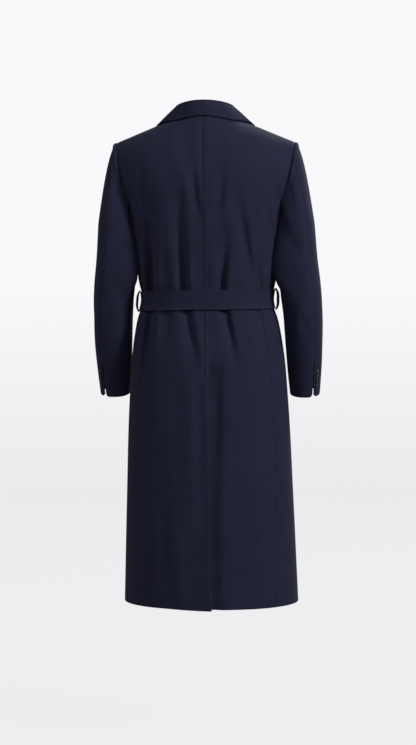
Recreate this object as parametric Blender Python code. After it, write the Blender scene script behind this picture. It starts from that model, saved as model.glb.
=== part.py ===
# Belted overcoat, hollow and in its worn shape, with every cut piece as its own closed solid.
# Metres, +Z up. The front faces -Y and the wearer's left is +X. The origin is the middle of
# the neck base, where the shoulders carry the coat. Every wall runs inward from its outer points.

import math

import bmesh
import bpy
import numpy as np

# The coat hangs a little to one side: shift across for each metre above the belt
LEAN = 0.0135

# Cloth and seams
WALL = 0.0025
SEAM_GAP = 0.0003
LAY_GAP = 0.0009
ARMHOLE_GAP = 0.0005

# Heights
HEM = -1.270
VENT_TOP = -0.690
VENT_TURN = -0.715
BELT_BOTTOM = -0.513
BELT_MIDDLE = -0.488
BELT_TOP = -0.463
UNDERARM = -0.300
CHEST = -0.235
ARMHOLE_SCOOP = 0.024

# Neck and shoulders: neck middle back, neck side, shoulder point
NECK_BACK = (0.0, 0.056, -0.008)
NECK_SIDE = (0.072, -0.004, -0.014)
SHOULDER_POINT = (0.238, -0.010, -0.082)

# How the back runs into the neck and shoulder seams, from the middle to the armhole
PULL_COLUMNS = ("share", "forward", "up")
YOKE_PULLS = (
    (0.00, -0.70, 0.80),
    (0.17, -1.00, 0.60),
    (0.33, -1.40, 0.36),
    (0.60, -1.50, 0.26),
    (1.00, -1.10, 0.22),
)

# Grid sizes: columns of each panel, rows of each stretch
BACK_COLUMNS = 12
NECK_COLUMNS = 4
SIDE_COLUMNS = 5
FRONT_COLUMNS = 11
YOKE_ROWS = 8
TOP_SLEEVE_COLUMNS = 9
UNDER_SLEEVE_COLUMNS = 10
CAP_ROWS = 6

# The body's rings, from the hem up
BODY_COLUMNS = ("height", "half_width", "back_depth", "front_depth", "squareness")
BODY_RINGS = (
    (-1.270, 0.2265, 0.190, 0.190, 2.10),
    (-1.000, 0.2170, 0.173, 0.176, 2.12),
    (-0.750, 0.2065, 0.153, 0.158, 2.16),
    (-0.620, 0.1965, 0.140, 0.147, 2.20),
    (-0.540, 0.1830, 0.126, 0.137, 2.25),
    (-0.488, 0.1685, 0.119, 0.131, 2.30),
    (-0.440, 0.1775, 0.121, 0.134, 2.32),
    (-0.375, 0.1860, 0.124, 0.140, 2.36),
    (-0.300, 0.1970, 0.128, 0.145, 2.40),
    (-0.235, 0.2065, 0.130, 0.147, 2.40),
)

# Where the long seams lie, measured across from the middle of the coat
SEAM_COLUMNS = ("height", "side_back", "side_front")
SEAM_PLACES = (
    (-1.270, 0.175, 0.196),
    (-0.750, 0.171, 0.184),
    (-0.600, 0.158, 0.172),
    (-0.488, 0.140, 0.152),
    (-0.375, 0.160, 0.168),
    (-0.235, 0.195, 0.190),
)

# Back vent: the left panel laps over the right one below the vent's top
VENT_LAP_TOP = 0.012
VENT_LAP_HEM = 0.025
VENT_UNDERLAP = 0.036
VENT_SINK = 0.0040
VENT_SINK_REACH = 0.050
VENT_SINK_RAMP = 0.030
VENT_FLAP_DROP = 0.003

# Wrap front: the left edge passes the middle and lies over the right
WRAP_EDGE = -0.088
WRAP_BREAK = -0.440
WRAP_SINK = 0.0085
WRAP_SINK_RAMP = 0.042
WRAP_SINK_MARGIN = 0.006

# Largest folds, as troughs; a negative depth is a ridge
FOLD_COLUMNS = ("across", "height", "lean", "rise", "fall", "depth", "width")
BACK_FOLDS = (
    (0.142, -0.450, 0.00, 0.150, 0.020, 0.0070, 0.016),
    (0.054, -0.455, 0.05, 0.140, 0.020, 0.0050, 0.014),
    (-0.038, -0.455, 0.00, 0.060, 0.020, 0.0040, 0.013),
    (-0.125, -0.420, -0.04, 0.090, 0.040, 0.0050, 0.018),
    (0.052, -0.525, 0.26, 0.020, 0.070, 0.0045, 0.013),
    (-0.040, -0.525, 0.27, 0.020, 0.080, 0.0045, 0.014),
    (0.144, -0.530, -0.10, 0.025, 0.120, 0.0060, 0.017),
    (-0.120, -0.540, 0.10, 0.030, 0.110, 0.0040, 0.020),
    (-0.034, -0.820, 0.02, 0.120, 0.150, 0.0035, 0.018),
    (0.048, -0.860, 0.00, 0.150, 0.200, -0.0030, 0.022),
)
FRONT_FOLDS = (
    (0.120, -0.450, 0.10, 0.120, 0.020, 0.0050, 0.016),
    (0.060, -0.450, 0.06, 0.090, 0.020, 0.0040, 0.014),
    (-0.125, -0.445, -0.08, 0.110, 0.020, 0.0050, 0.016),
    (0.090, -0.530, -0.15, 0.025, 0.140, 0.0050, 0.018),
    (-0.130, -0.530, 0.12, 0.025, 0.120, 0.0050, 0.018),
)

# Sleeve rings from below the underarm to the cuff; slope tips a ring's back edge down
SLEEVE_COLUMNS = ("height", "middle", "half_width", "forward", "half_depth", "slope")
SLEEVE_RINGS = (
    (-0.290, 0.2400, 0.0405, 0.000, 0.083, 0.00),
    (-0.375, 0.2385, 0.0485, 0.001, 0.079, 0.00),
    (-0.460, 0.2430, 0.0525, 0.002, 0.075, 0.02),
    (-0.520, 0.2470, 0.0512, 0.006, 0.071, 0.06),
    (-0.600, 0.2490, 0.0485, 0.020, 0.065, 0.12),
    (-0.680, 0.2490, 0.0435, 0.038, 0.058, 0.17),
    (-0.731, 0.2490, 0.0390, 0.050, 0.054, 0.20),
)
# How far the inner back of the sleeve reaches in behind the body's side, where the arm hangs against it
HUG_COLUMNS = ("height", "reach")
SLEEVE_HUG = (
    (-0.250, 0.006),
    (-0.290, 0.016),
    (-0.330, 0.022),
    (-0.375, 0.027),
    (-0.410, 0.030),
    (-0.440, 0.026),
    (-0.470, 0.010),
    (-0.500, 0.000),
)
HUG_TURN = math.radians(130.0)
HUG_SPREAD = math.radians(26.0)
SLEEVE_SQUARENESS = 2.25
SLEEVE_ROWS = 11
HIND_SEAM_TURN = math.radians(56.0)
FORE_SEAM_TURN = math.radians(-110.0)
CAP_OUTWARD = 0.036
CAP_SLANT = 0.14
CAP_SPREAD = 0.030
CAP_DOWN = 0.022

# Collar: stand, rolled fold and fall
COLLAR_WALL = 0.0026
COLLAR_FOLD_RADIUS = 0.0038
COLLAR_GAP = 0.0016
COLLAR_SEAT_GAP = 0.0006
COLLAR_SEAT_SHARE = 0.9
COLLAR_ROUND = 0.004
COLLAR_BACK_STATIONS = 9
COLLAR_FRONT_STATIONS = 6
COLLAR_BACK_SHARE = 0.58
COLLAR_GORGE_ROWS = 2.6
STAND_COLUMNS = ("share", "height", "lean_in", "lean_back")
STAND_LINE = (
    (0.00, 0.030, 0.00, 0.10),
    (0.30, 0.030, 0.14, 0.10),
    (0.58, 0.029, 0.26, 0.08),
    (0.80, 0.018, 0.05, -0.20),
    (1.00, 0.007, 0.00, -0.50),
)
FALL_COLUMNS = ("share", "column", "rows_down")
BACK_FALL = (
    (0.00, 0.00, 0.42),
    (0.20, 1.10, 0.55),
    (0.40, 2.30, 0.72),
    (0.60, 3.60, 0.88),
    (0.80, 4.80, 0.58),
    (1.00, 6.40, 0.00),
)
FRONT_FALL = (
    (0.00, 3.85, 0.00),
    (0.50, 3.60, 1.20),
    (1.00, 2.60, 2.60),
)

# Lapels, in columns across and rows along the front they lie on
LAPEL_WALL = 0.0025
LAPEL_GAP = 0.0014
LAPEL_WIDEST = 4.1
LAPEL_TOP_GAP_ROWS = 0.25
LAPEL_RIGHT_BOTTOM = -0.270
LAPEL_ACROSS = 6

# Belt with its tie and loops
BELT_WALL = 0.0032
BELT_GAP = 0.0012
BELT_TILT = 0.018
BELT_STATIONS = 44
KNOT_SIZE = (0.058, 0.020, 0.062)
KNOT_GAP = 0.0013
KNOT_RINGS = 8
KNOT_SPOKES = 14
BELT_END_WIDTH = 0.050
BELT_END_COLUMNS = ("side", "middle", "lean", "bottom")
BELT_ENDS = (
    ("left", 0.028, 0.10, -0.830),
    ("right", -0.030, -0.08, -0.800),
)
BELT_END_ROWS = 9
BELT_END_DROP = 0.004
BELT_END_PINCH = 0.060
LOOP_WIDTH = 0.0104
LOOP_WALL = 0.0030
LOOP_BULGE = 0.0120
LOOP_OVERHANG = 0.004
LOOP_LIFT = 0.0009
LOOP_TWIST = math.radians(10.0)
LOOP_REACH = 0.17
LOOP_ROWS = 10

# Cuff buttons, beside the hind seam
BUTTON_RADIUS = 0.0054
BUTTON_HEIGHT = 0.0030
BUTTON_SPOKES = 10
BUTTON_SPACING = 0.0118
BUTTON_COUNT = 4
BUTTON_TOP = -0.668
BUTTON_TURN = math.radians(43.0)

# Colours (linear), roughness
WOOL_NAVY = (0.014, 0.015, 0.032)
HORN_DARK = (0.016, 0.013, 0.013)
WOOL_ROUGHNESS = 0.90
HORN_ROUGHNESS = 0.35

SIDES = (("left", 1.0), ("right", -1.0))


def clear_scene():
    for scene_object in list(bpy.data.objects):
        bpy.data.objects.remove(scene_object, do_unlink=True)


def principled(name, colour, roughness):
    material = bpy.data.materials.new(name)
    material.use_nodes = True
    shader = material.node_tree.nodes["Principled BSDF"]
    shader.inputs["Base Color"].default_value = (*colour, 1.0)
    shader.inputs["Roughness"].default_value = roughness
    shader.inputs["Metallic"].default_value = 0.0
    return material


def smooth_step(value):
    t = np.clip(value, 0.0, 1.0)
    return t * t * (3.0 - 2.0 * t)


def hermite(start, start_pull, end, end_pull, t):
    """A cubic from start to end that leaves and arrives along the two pulls."""
    return (
        (2 * t**3 - 3 * t**2 + 1) * start
        + (t**3 - 2 * t**2 + t) * start_pull
        + (3 * t**2 - 2 * t**3) * end
        + (t**3 - t**2) * end_pull
    )


def from_table(table, columns, name, height):
    """A column of a table at any height, by a smooth curve through its rows."""
    rows = np.array(sorted(table))
    heights = rows[:, 0]
    values = rows[:, columns.index(name)]
    slopes = np.gradient(values, heights)
    height = np.asarray(height, dtype=float)
    low = np.clip(np.searchsorted(heights, height) - 1, 0, len(heights) - 2)
    span = heights[low + 1] - heights[low]
    t = (height - heights[low]) / span
    return hermite(values[low], slopes[low] * span, values[low + 1], slopes[low + 1] * span, t)


def ring_sizes(height):
    return [from_table(BODY_RINGS, BODY_COLUMNS, name, height) for name in BODY_COLUMNS[1:]]


def turn_at(across, height, front):
    """Turn from the middle back to the point of a ring that lies this far across, on one half."""
    half_width, back_depth, front_depth, squareness = ring_sizes(height)
    depth = front_depth if front else back_depth
    share = np.minimum(np.abs(across) / half_width, 1.0)
    reach = depth * (1.0 - share**squareness) ** (1.0 / squareness)
    turn = np.arctan2(across, reach)
    return math.pi - turn if front else turn


def ring_point(turn, height, out=0.0):
    """A point of the body's ring: a rounded rectangle in polar form, moved out by a distance."""
    turn = np.asarray(turn, dtype=float)
    height = np.broadcast_to(np.asarray(height, dtype=float), turn.shape)
    half_width, back_depth, front_depth, squareness = ring_sizes(height)
    depth = np.where(np.cos(turn) >= 0.0, back_depth, front_depth)
    radius = (
        np.abs(np.sin(turn) / half_width) ** squareness + np.abs(np.cos(turn) / depth) ** squareness
    ) ** (-1.0 / squareness) + out
    return np.stack([radius * np.sin(turn), radius * np.cos(turn), height], axis=-1)


def fold_depth(table, points):
    """Depth of all folds of a table at points: bells across, with their own reach up and down."""
    total = np.zeros(points.shape[:-1])
    for row in table:
        fold = dict(zip(FOLD_COLUMNS, row))
        above = points[..., 2] - fold["height"]
        reach = np.where(above >= 0.0, fold["rise"], fold["fall"])
        aside = points[..., 0] - (fold["across"] + fold["lean"] * above)
        total += fold["depth"] * np.exp(-((above / reach) ** 2) - (aside / fold["width"]) ** 2)
    return total


def body_rows():
    """Row heights of the rings, with rows at the vent's top and at the belt's edges."""
    return np.concatenate([
        np.linspace(HEM, VENT_TURN, 9),
        np.linspace(VENT_TOP, BELT_BOTTOM, 5),
        [BELT_MIDDLE],
        np.linspace(BELT_TOP, UNDERARM, 5),
        [(UNDERARM + CHEST) / 2, CHEST],
    ])


ROWS = body_rows()


def seam_turn(name, height):
    across = from_table(SEAM_PLACES, SEAM_COLUMNS, name, height)
    return turn_at(across, height, name == "side_front")


def wrap_edge(height):
    """Across place of the left front edge: upright below the break, then along the roll line."""
    slope = (NECK_SIDE[0] - WRAP_EDGE) / (NECK_SIDE[2] - WRAP_BREAK)
    return np.where(height < WRAP_BREAK, WRAP_EDGE, WRAP_EDGE + slope * (height - WRAP_BREAK))


def vent_edge(side):
    """Across place of a back panel's middle edge, positive towards its own side."""
    lap = VENT_LAP_HEM + (VENT_LAP_TOP - VENT_LAP_HEM) * (ROWS - HEM) / (VENT_TURN - HEM)
    below = -lap if side > 0 else np.full(len(ROWS), -VENT_UNDERLAP)
    return np.where(ROWS <= VENT_TURN + 1e-6, below, 0.0)


def sink_under_vent(points):
    """The right back goes in under the left one beside the vent."""
    lap = VENT_LAP_HEM + 0.004
    across = smooth_step((points[..., 0] + lap + VENT_SINK_RAMP) / VENT_SINK_RAMP)
    down = smooth_step((VENT_TOP + VENT_SINK_REACH - points[..., 2]) / VENT_SINK_REACH)
    return VENT_SINK * across * down


def sink_under_wrap(points):
    """The right front goes in under the left one before it reaches the left one's edge."""
    edge = wrap_edge(points[..., 2]) - WRAP_SINK_MARGIN
    return WRAP_SINK * smooth_step((points[..., 0] - edge + WRAP_SINK_RAMP) / WRAP_SINK_RAMP)


def yoke(bottom, top, bottom_pull, top_pull):
    """Rows from the chest ring up to the neck and shoulder, one cubic a column."""
    t = (np.arange(1, YOKE_ROWS + 1) / YOKE_ROWS)[:, None, None]
    length = np.linalg.norm(top - bottom, axis=-1, keepdims=True)
    return hermite(bottom, bottom_pull * length, top, top_pull * length, t)


def shoulder_line(share):
    """Points of the shoulder seam, from the neck side to the shoulder point."""
    start = np.array(NECK_SIDE)
    end = np.array(SHOULDER_POINT)
    share = np.asarray(share)[:, None]
    return start + (end - start) * share


def back_grid(side):
    """Outer points of one back panel: rows from hem to shoulder, columns from middle to side."""
    edge = turn_at(vent_edge(side), ROWS, False)
    seam = seam_turn("side_back", ROWS)
    share = np.linspace(0.0, 1.0, BACK_COLUMNS + 1)
    turns = edge[:, None] + (seam - edge)[:, None] * share[None, :]
    rings = ring_point(turns, ROWS[:, None])
    neck_share = np.linspace(0.0, 1.0, NECK_COLUMNS + 1)[:-1] * math.pi / 2
    neck = np.array(NECK_BACK) + 0.0 * neck_share[:, None]
    neck[:, 0] = NECK_SIDE[0] * np.sin(neck_share)
    neck[:, 1] = NECK_SIDE[1] + (NECK_BACK[1] - NECK_SIDE[1]) * np.cos(neck_share)
    neck[:, 2] = NECK_SIDE[2] + (NECK_BACK[2] - NECK_SIDE[2]) * np.cos(neck_share)
    shoulder = shoulder_line(np.linspace(0.0, 1.0, BACK_COLUMNS - NECK_COLUMNS + 1))
    top = np.concatenate([neck, shoulder])
    top_pull = np.stack([0.0 * share] + [from_table(YOKE_PULLS, PULL_COLUMNS, name, share)
                                         for name in PULL_COLUMNS[1:]], axis=-1)
    upper = yoke(rings[-1], top, np.array([0.0, 0.02, 0.95]), top_pull)
    points = np.concatenate([rings, upper])
    points[..., 0] *= side
    points[..., 1] -= fold_depth(BACK_FOLDS, points)
    if side < 0:
        points[..., 1] -= sink_under_vent(points)
    else:
        points[0, :, 2] -= VENT_FLAP_DROP * np.exp(-(points[0, :, 0] / 0.06) ** 2)
    return points


def side_grid(side):
    """Outer points of one side panel: from the side back seam to the side front seam."""
    start = seam_turn("side_back", ROWS)
    end = seam_turn("side_front", ROWS)
    share = np.linspace(0.0, 1.0, SIDE_COLUMNS + 1)
    turns = start[:, None] + (end - start)[:, None] * share[None, :]
    scoop = ARMHOLE_SCOOP * np.sin(math.pi * share)
    lift = np.clip((ROWS - UNDERARM) / (CHEST - UNDERARM), 0.0, 1.0)
    heights = ROWS[:, None] - lift[:, None] * scoop[None, :]
    points = ring_point(turns, heights)
    points[..., 0] *= side
    points[..., 1] -= fold_depth(BACK_FOLDS, points) * (points[..., 1] > 0.0)
    points[..., 1] += fold_depth(FRONT_FOLDS, points) * (points[..., 1] < 0.0)
    return points


def front_grid(side):
    """Outer points of one front: columns from its free edge to the side front seam and armhole."""
    edge = turn_at(wrap_edge(ROWS), ROWS, True)
    seam = seam_turn("side_front", ROWS)
    share = np.linspace(0.0, 1.0, FRONT_COLUMNS + 1)
    turns = edge[:, None] + (seam - edge)[:, None] * share[None, :]
    rings = ring_point(turns, ROWS[:, None])
    top = shoulder_line(share)
    upper = yoke(rings[-1], top, np.array([0.0, 0.0, 0.95]), np.array([0.0, 1.10, 0.35]))
    points = np.concatenate([rings, upper])
    points[..., 0] *= side
    points[..., 1] += fold_depth(FRONT_FOLDS, points)
    if side < 0:
        points[..., 1] += sink_under_wrap(points)
    return points


def normals_of(points, inside):
    """Unit normals of a grid of points, turned away from a point that lies inside."""
    along = np.gradient(points, axis=0, edge_order=2)
    across = np.gradient(points, axis=1, edge_order=2)
    normals = np.cross(across, along)
    normals /= np.linalg.norm(normals, axis=-1, keepdims=True)
    outward = np.sum(normals * (points - np.asarray(inside)), axis=-1).mean()
    return normals if outward > 0.0 else -normals


def inset(points, gap, edges):
    """Draws named edges of a grid back by a small gap, towards the next row or column."""
    points = points.copy()
    for edge in edges:
        at, towards = (0, 1) if edge.startswith("first") else (-1, -2)
        axis = 0 if edge.endswith("row") else 1
        lines = np.moveaxis(points, axis, 0)
        step = lines[towards] - lines[at]
        lines[at] += gap * step / np.linalg.norm(step, axis=-1, keepdims=True)
    return points


def on_grid(points, row, column):
    """Points of a grid at fractional rows and columns, straight between its own points."""
    row = np.clip(np.asarray(row, dtype=float), 0.0, points.shape[0] - 1.0)
    column = np.clip(np.asarray(column, dtype=float), 0.0, points.shape[1] - 1.0)
    low_row = np.minimum(row.astype(int), points.shape[0] - 2)
    low_column = np.minimum(column.astype(int), points.shape[1] - 2)
    r = (row - low_row)[..., None]
    c = (column - low_column)[..., None]
    lower = points[low_row, low_column] * (1 - c) + points[low_row, low_column + 1] * c
    upper = points[low_row + 1, low_column] * (1 - c) + points[low_row + 1, low_column + 1] * c
    return lower * (1 - r) + upper * r


def add_solid(name, vertices, faces, material):
    """A named object from points and faces, leaning as the coat does, with its faces turned outwards."""
    vertices = vertices + LEAN * (vertices[:, 2:] - BELT_MIDDLE) * np.array([1.0, 0.0, 0.0])
    mesh = bpy.data.meshes.new(name)
    mesh.from_pydata([tuple(v) for v in vertices], [], faces)
    work = bmesh.new()
    work.from_mesh(mesh)
    bmesh.ops.recalc_face_normals(work, faces=work.faces)
    bmesh.ops.triangulate(work, faces=work.faces)
    work.to_mesh(mesh)
    work.free()
    mesh.shade_smooth()
    mesh.set_sharp_from_angle(angle=math.radians(40.0))
    mesh.materials.append(material)
    solid = bpy.data.objects.new(name, mesh)
    bpy.context.scene.collection.objects.link(solid)
    return solid


def grid_faces(rows, columns, start, wrap):
    faces = []
    for r in range(rows - 1):
        for c in range(columns if wrap else columns - 1):
            d = (c + 1) % columns
            faces.append((start + r * columns + c, start + r * columns + d,
                          start + (r + 1) * columns + d, start + (r + 1) * columns + c))
    return faces


def add_sheet(name, outer, inner, material, wrap=False):
    """A wall between two grids of points, closed by a rim; wrap joins last column to first."""
    rows, columns = outer.shape[:2]
    count = rows * columns
    faces = grid_faces(rows, columns, 0, wrap) + grid_faces(rows, columns, count, wrap)
    last = (rows - 1) * columns
    for c in range(columns if wrap else columns - 1):
        d = (c + 1) % columns
        faces.append((c, d, count + d, count + c))
        faces.append((last + c, last + d, count + last + d, count + last + c))
    for r in range(0 if wrap else rows - 1):
        for c in (0, columns - 1):
            here = r * columns + c
            faces.append((here, here + columns, count + here + columns, count + here))
    vertices = np.concatenate([outer.reshape(-1, 3), inner.reshape(-1, 3)])
    return add_solid(name, vertices, faces, material)


def add_turned(name, rings, material):
    """A solid of closed rings, capped flat at both ends."""
    count, spokes = rings.shape[:2]
    faces = grid_faces(count, spokes, 0, True)
    last = (count - 1) * spokes
    faces.append(tuple(range(spokes)))
    faces.append(tuple(range(last, last + spokes)))
    return add_solid(name, rings.reshape(-1, 3), faces, material)


BODY_INSIDE = (0.0, 0.0, -0.32)
BODY_PANELS = (
    ("back", back_grid, ("first_column", "last_column", "last_row")),
    ("side", side_grid, ("first_column", "last_column")),
    ("front", front_grid, ("last_column", "last_row")),
)


def share_normals(one, other):
    """Two walls that meet at a seam take the same direction there."""
    mean = one + other
    mean /= np.linalg.norm(mean, axis=-1, keepdims=True)
    one[:] = mean
    other[:] = mean


def make_body(material):
    """Back, side and front panels; returns their outer grids by name and side."""
    grids = {}
    normals = {}
    rings = len(ROWS)
    above_vent = int(np.searchsorted(ROWS, VENT_TOP + VENT_SINK_REACH))
    for word, side in SIDES:
        for panel, grid_of, _ in BODY_PANELS:
            grids[panel, word] = grid_of(side)
            normals[panel, word] = normals_of(grids[panel, word], BODY_INSIDE)
        back, beside, front = (normals[panel, word] for panel, _, _ in BODY_PANELS)
        share_normals(back[:rings, -1], beside[:, 0])
        share_normals(front[:rings, -1], beside[:, -1])
        for upright in (back[-1, NECK_COLUMNS:], front[-1]):
            upright[:, 1] = 0.0
            upright /= np.linalg.norm(upright, axis=-1, keepdims=True)
    share_normals(normals["back", "left"][above_vent:, 0], normals["back", "right"][above_vent:, 0])
    for word, _ in SIDES:
        for panel, _, edges in BODY_PANELS:
            outer = inset(grids[panel, word], SEAM_GAP / 2, edges)
            add_sheet(panel + "_" + word, outer, outer - WALL * normals[panel, word], material)
    return grids


def armhole_loop(grids, word, turns):
    """The armhole's edge from the shoulder round the back, read at turns of a full circle."""
    chest_row = len(ROWS) - 1
    back = grids["back", word][chest_row:, -1][::-1]
    under = grids["side", word][-1][1:-1]
    front = grids["front", word][chest_row:, -1][:-1]
    loop = np.concatenate([back, under, front, back[:1]])
    steps = np.linalg.norm(np.diff(loop, axis=0), axis=-1)
    length = np.concatenate([[0.0], np.cumsum(steps)])
    share = np.mod(turns / (2.0 * math.pi), 1.0)
    return np.stack([np.interp(share * length[-1], length, loop[:, k]) for k in range(3)], axis=-1)


def sleeve_ring(side, height, turns):
    """One ring of the sleeve: a rounded oval, its back tipped down by the slope."""
    middle, half_width, forward, half_depth, slope = [
        from_table(SLEEVE_RINGS, SLEEVE_COLUMNS, name, height) for name in SLEEVE_COLUMNS[1:]
    ]
    power = 2.0 / SLEEVE_SQUARENESS
    out = np.sign(np.cos(turns)) * np.abs(np.cos(turns)) ** power
    back = np.sign(np.sin(turns)) * np.abs(np.sin(turns)) ** power
    hug = from_table(SLEEVE_HUG, HUG_COLUMNS, "reach", np.clip(height, SLEEVE_HUG[-1][0], SLEEVE_HUG[0][0]))
    inner = np.exp(-((np.mod(turns, 2.0 * math.pi) - HUG_TURN) / HUG_SPREAD) ** 2)
    x = side * (middle + half_width * out - hug * inner)
    y = -forward + half_depth * back
    z = height - slope * half_depth * back
    return np.stack([x, y, z], axis=-1)


def sleeve_grid(grids, word, side, turns):
    """Outer points of a sleeve: the cap from the armhole, then rings down to the cuff."""
    start = armhole_loop(grids, word, turns) + np.array([side * ARMHOLE_GAP, 0.0, 0.0])
    heights = np.linspace(SLEEVE_RINGS[0][0], SLEEVE_RINGS[-1][0], SLEEVE_ROWS)
    rings = np.stack([sleeve_ring(side, height, turns) for height in heights])
    loop = armhole_loop(grids, word, np.linspace(0.0, 2.0 * math.pi, 64, endpoint=False))
    ray = start - loop.mean(axis=0)
    ray[:, 0] = 0.0
    ray /= np.linalg.norm(ray, axis=-1, keepdims=True)
    height_share = 0.5 + 0.5 * ray[:, 2]
    length = np.linalg.norm(rings[0] - start, axis=-1)
    out_pull = CAP_OUTWARD * height_share
    back_pull = CAP_SPREAD * ray[:, 1]
    down_pull = np.where(ray[:, 2] > 0.0, CAP_DOWN + CAP_SPREAD * ray[:, 1] ** 2, length)
    start_pull = np.stack([side * out_pull, back_pull, -down_pull], axis=-1)
    slant = side * CAP_SLANT * height_share
    end_pull = np.stack([slant * length, 0.0 * length, -length], axis=-1)
    t = (np.arange(CAP_ROWS) / CAP_ROWS)[:, None, None]
    cap = hermite(start, start_pull, rings[0], end_pull, t)
    return np.concatenate([cap, rings])


def make_sleeves(grids, material):
    """Top sleeve and under sleeve of both arms, meeting at the hind seam and the fore seam."""
    spans = (
        ("top", FORE_SEAM_TURN, HIND_SEAM_TURN, TOP_SLEEVE_COLUMNS),
        ("under", HIND_SEAM_TURN, FORE_SEAM_TURN + 2.0 * math.pi, UNDER_SLEEVE_COLUMNS),
    )
    for word, side in SIDES:
        for piece, first, last, columns in spans:
            turns = np.linspace(first, last, columns + 1)
            points = sleeve_grid(grids, word, side, turns)
            points = inset(points, SEAM_GAP / 2, ("first_column", "last_column"))
            arm_axis = points * np.array([0.0, 0.0, 1.0]) + np.array([side * SLEEVE_RINGS[2][1], 0.0, 0.0])
            normals = normals_of(points, arm_axis)
            normals[0, :, 0] = side * np.minimum(side * normals[0, :, 0], 0.0)
            normals[0] /= np.linalg.norm(normals[0], axis=-1, keepdims=True)
            add_sheet("sleeve_" + piece + "_" + word, points, points - WALL * normals, material)


def collar_half(grids, word, side, share):
    """Seat, fold and edge lines of one half of the collar, from the middle back to the gorge."""
    back = grids["back", word]
    front = grids["front", word]
    top_row = back.shape[0] - 1.0
    behind = (share <= COLLAR_BACK_SHARE)[:, None]
    back_share = np.clip(share / COLLAR_BACK_SHARE, 0.0, 1.0)
    front_share = np.clip((share - COLLAR_BACK_SHARE) / (1.0 - COLLAR_BACK_SHARE), 0.0, 1.0)
    seat = np.where(behind,
                    on_grid(back, top_row + 0.0 * share, back_share * NECK_COLUMNS),
                    on_grid(front, top_row - COLLAR_GORGE_ROWS * front_share, 0.0 * share))
    lift = COLLAR_GAP + COLLAR_WALL
    edges = []
    for grid, table, along in ((back, BACK_FALL, back_share), (front, FRONT_FALL, front_share)):
        column = from_table(table, FALL_COLUMNS, "column", along)
        row = top_row - from_table(table, FALL_COLUMNS, "rows_down", along)
        edges.append(on_grid(grid + lift * normals_of(grid, BODY_INSIDE), row, column))
    edge = np.where(behind, edges[0], edges[1])
    height, lean_in, lean_back = (from_table(STAND_LINE, STAND_COLUMNS, name, share)
                                  for name in STAND_COLUMNS[1:])
    lean = np.stack([-side * lean_in, lean_back, np.ones(len(share))], axis=-1)
    lean /= np.linalg.norm(lean, axis=-1, keepdims=True)
    return seat, seat + height[:, None] * lean, edge


def collar_profile(seat, fold, edge):
    """Points across the collar at each station: up the stand, over the fold, down the fall."""
    rise = fold - seat
    rise /= np.linalg.norm(rise, axis=-1, keepdims=True)
    out = edge - fold
    out -= rise * np.sum(out * rise, axis=-1, keepdims=True)
    out /= np.linalg.norm(out, axis=-1, keepdims=True)
    inward = COLLAR_SEAT_SHARE * COLLAR_WALL * out
    seat = seat + COLLAR_SEAT_GAP * rise - inward
    base = fold - inward
    lines = [seat, 0.5 * seat + 0.5 * base, base]
    for angle in np.linspace(math.pi, 0.0, 5)[1:]:
        reach = COLLAR_FOLD_RADIUS * (1.0 + math.cos(angle))
        lines.append(base + out * reach + rise * COLLAR_FOLD_RADIUS * math.sin(angle))
    top = lines[-1]
    bend = top + 0.35 * (edge - top) + COLLAR_ROUND * (out - rise)
    for t in (0.25, 0.5, 0.75, 1.0):
        lines.append((1 - t) ** 2 * top + 2 * t * (1 - t) * bend + t**2 * edge)
    return np.stack(lines)


def make_collar(grids, material):
    behind = np.linspace(0.0, COLLAR_BACK_SHARE, COLLAR_BACK_STATIONS)
    share = np.append(behind, np.linspace(COLLAR_BACK_SHARE, 1.0, COLLAR_FRONT_STATIONS)[1:])
    middle = len(share) - 1
    halves = []
    for word, side in SIDES:
        halves.append(collar_profile(*collar_half(grids, word, side, share)))
    points = np.concatenate([halves[0][:, :0:-1], halves[1]], axis=1)
    along = np.gradient(points, axis=0, edge_order=2)
    across = np.gradient(points, axis=1, edge_order=2)
    normals = np.cross(along, across)
    normals /= np.linalg.norm(normals, axis=-1, keepdims=True)
    if np.dot(normals[-2, middle], points[-2, middle] - points[0, middle]) < 0.0:
        normals = -normals
    add_sheet("collar", points, points - COLLAR_WALL * normals, material)


def make_lapels(grids, material):
    """Each lapel is folded back on its front: a patch of the front's points, moved out."""
    for word, side in SIDES:
        front = grids["front", word]
        top_row = front.shape[0] - 1.0 - COLLAR_GORGE_ROWS - LAPEL_TOP_GAP_ROWS
        bottom = WRAP_BREAK if side > 0 else LAPEL_RIGHT_BOTTOM
        bottom_row = float(np.searchsorted(ROWS, bottom))
        rows = np.append(np.arange(bottom_row, top_row), top_row)
        whole_bottom = float(np.searchsorted(ROWS, WRAP_BREAK))
        share = (rows - whole_bottom + 0.6) / (top_row - whole_bottom + 0.6)
        width = LAPEL_WIDEST * share**0.8
        columns = width[:, None] * np.linspace(0.0, 1.0, LAPEL_ACROSS + 1)[None, :]
        grid_rows = np.repeat(rows[:, None], LAPEL_ACROSS + 1, axis=1)
        normals = normals_of(front, BODY_INSIDE)
        under = on_grid(front + LAPEL_GAP * normals, grid_rows, columns)
        over = on_grid(front + (LAPEL_GAP + LAPEL_WALL) * normals, grid_rows, columns)
        add_sheet("lapel_" + word, over, under, material)


def belt_height(points, level):
    """The belt lies a little lower on the wearer's left."""
    return level - BELT_TILT * points[..., 0]


def make_belt(material):
    """A closed band round the waist, then the tie: knot and two hanging ends."""
    turns = np.linspace(0.0, 2.0 * math.pi, BELT_STATIONS, endpoint=False)
    levels = (BELT_BOTTOM, BELT_MIDDLE, BELT_TOP)
    bands = []
    for out in (BELT_GAP + BELT_WALL, BELT_GAP):
        band = []
        for level in levels:
            tilted = belt_height(ring_point(turns, level), level)
            band.append(ring_point(turns, tilted, out))
        bands.append(np.stack(band))
    add_sheet("belt", bands[0], bands[1], material, wrap=True)
    make_knot(material)
    for row in BELT_ENDS:
        make_belt_end(dict(zip(BELT_END_COLUMNS, row)), material)


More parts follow.
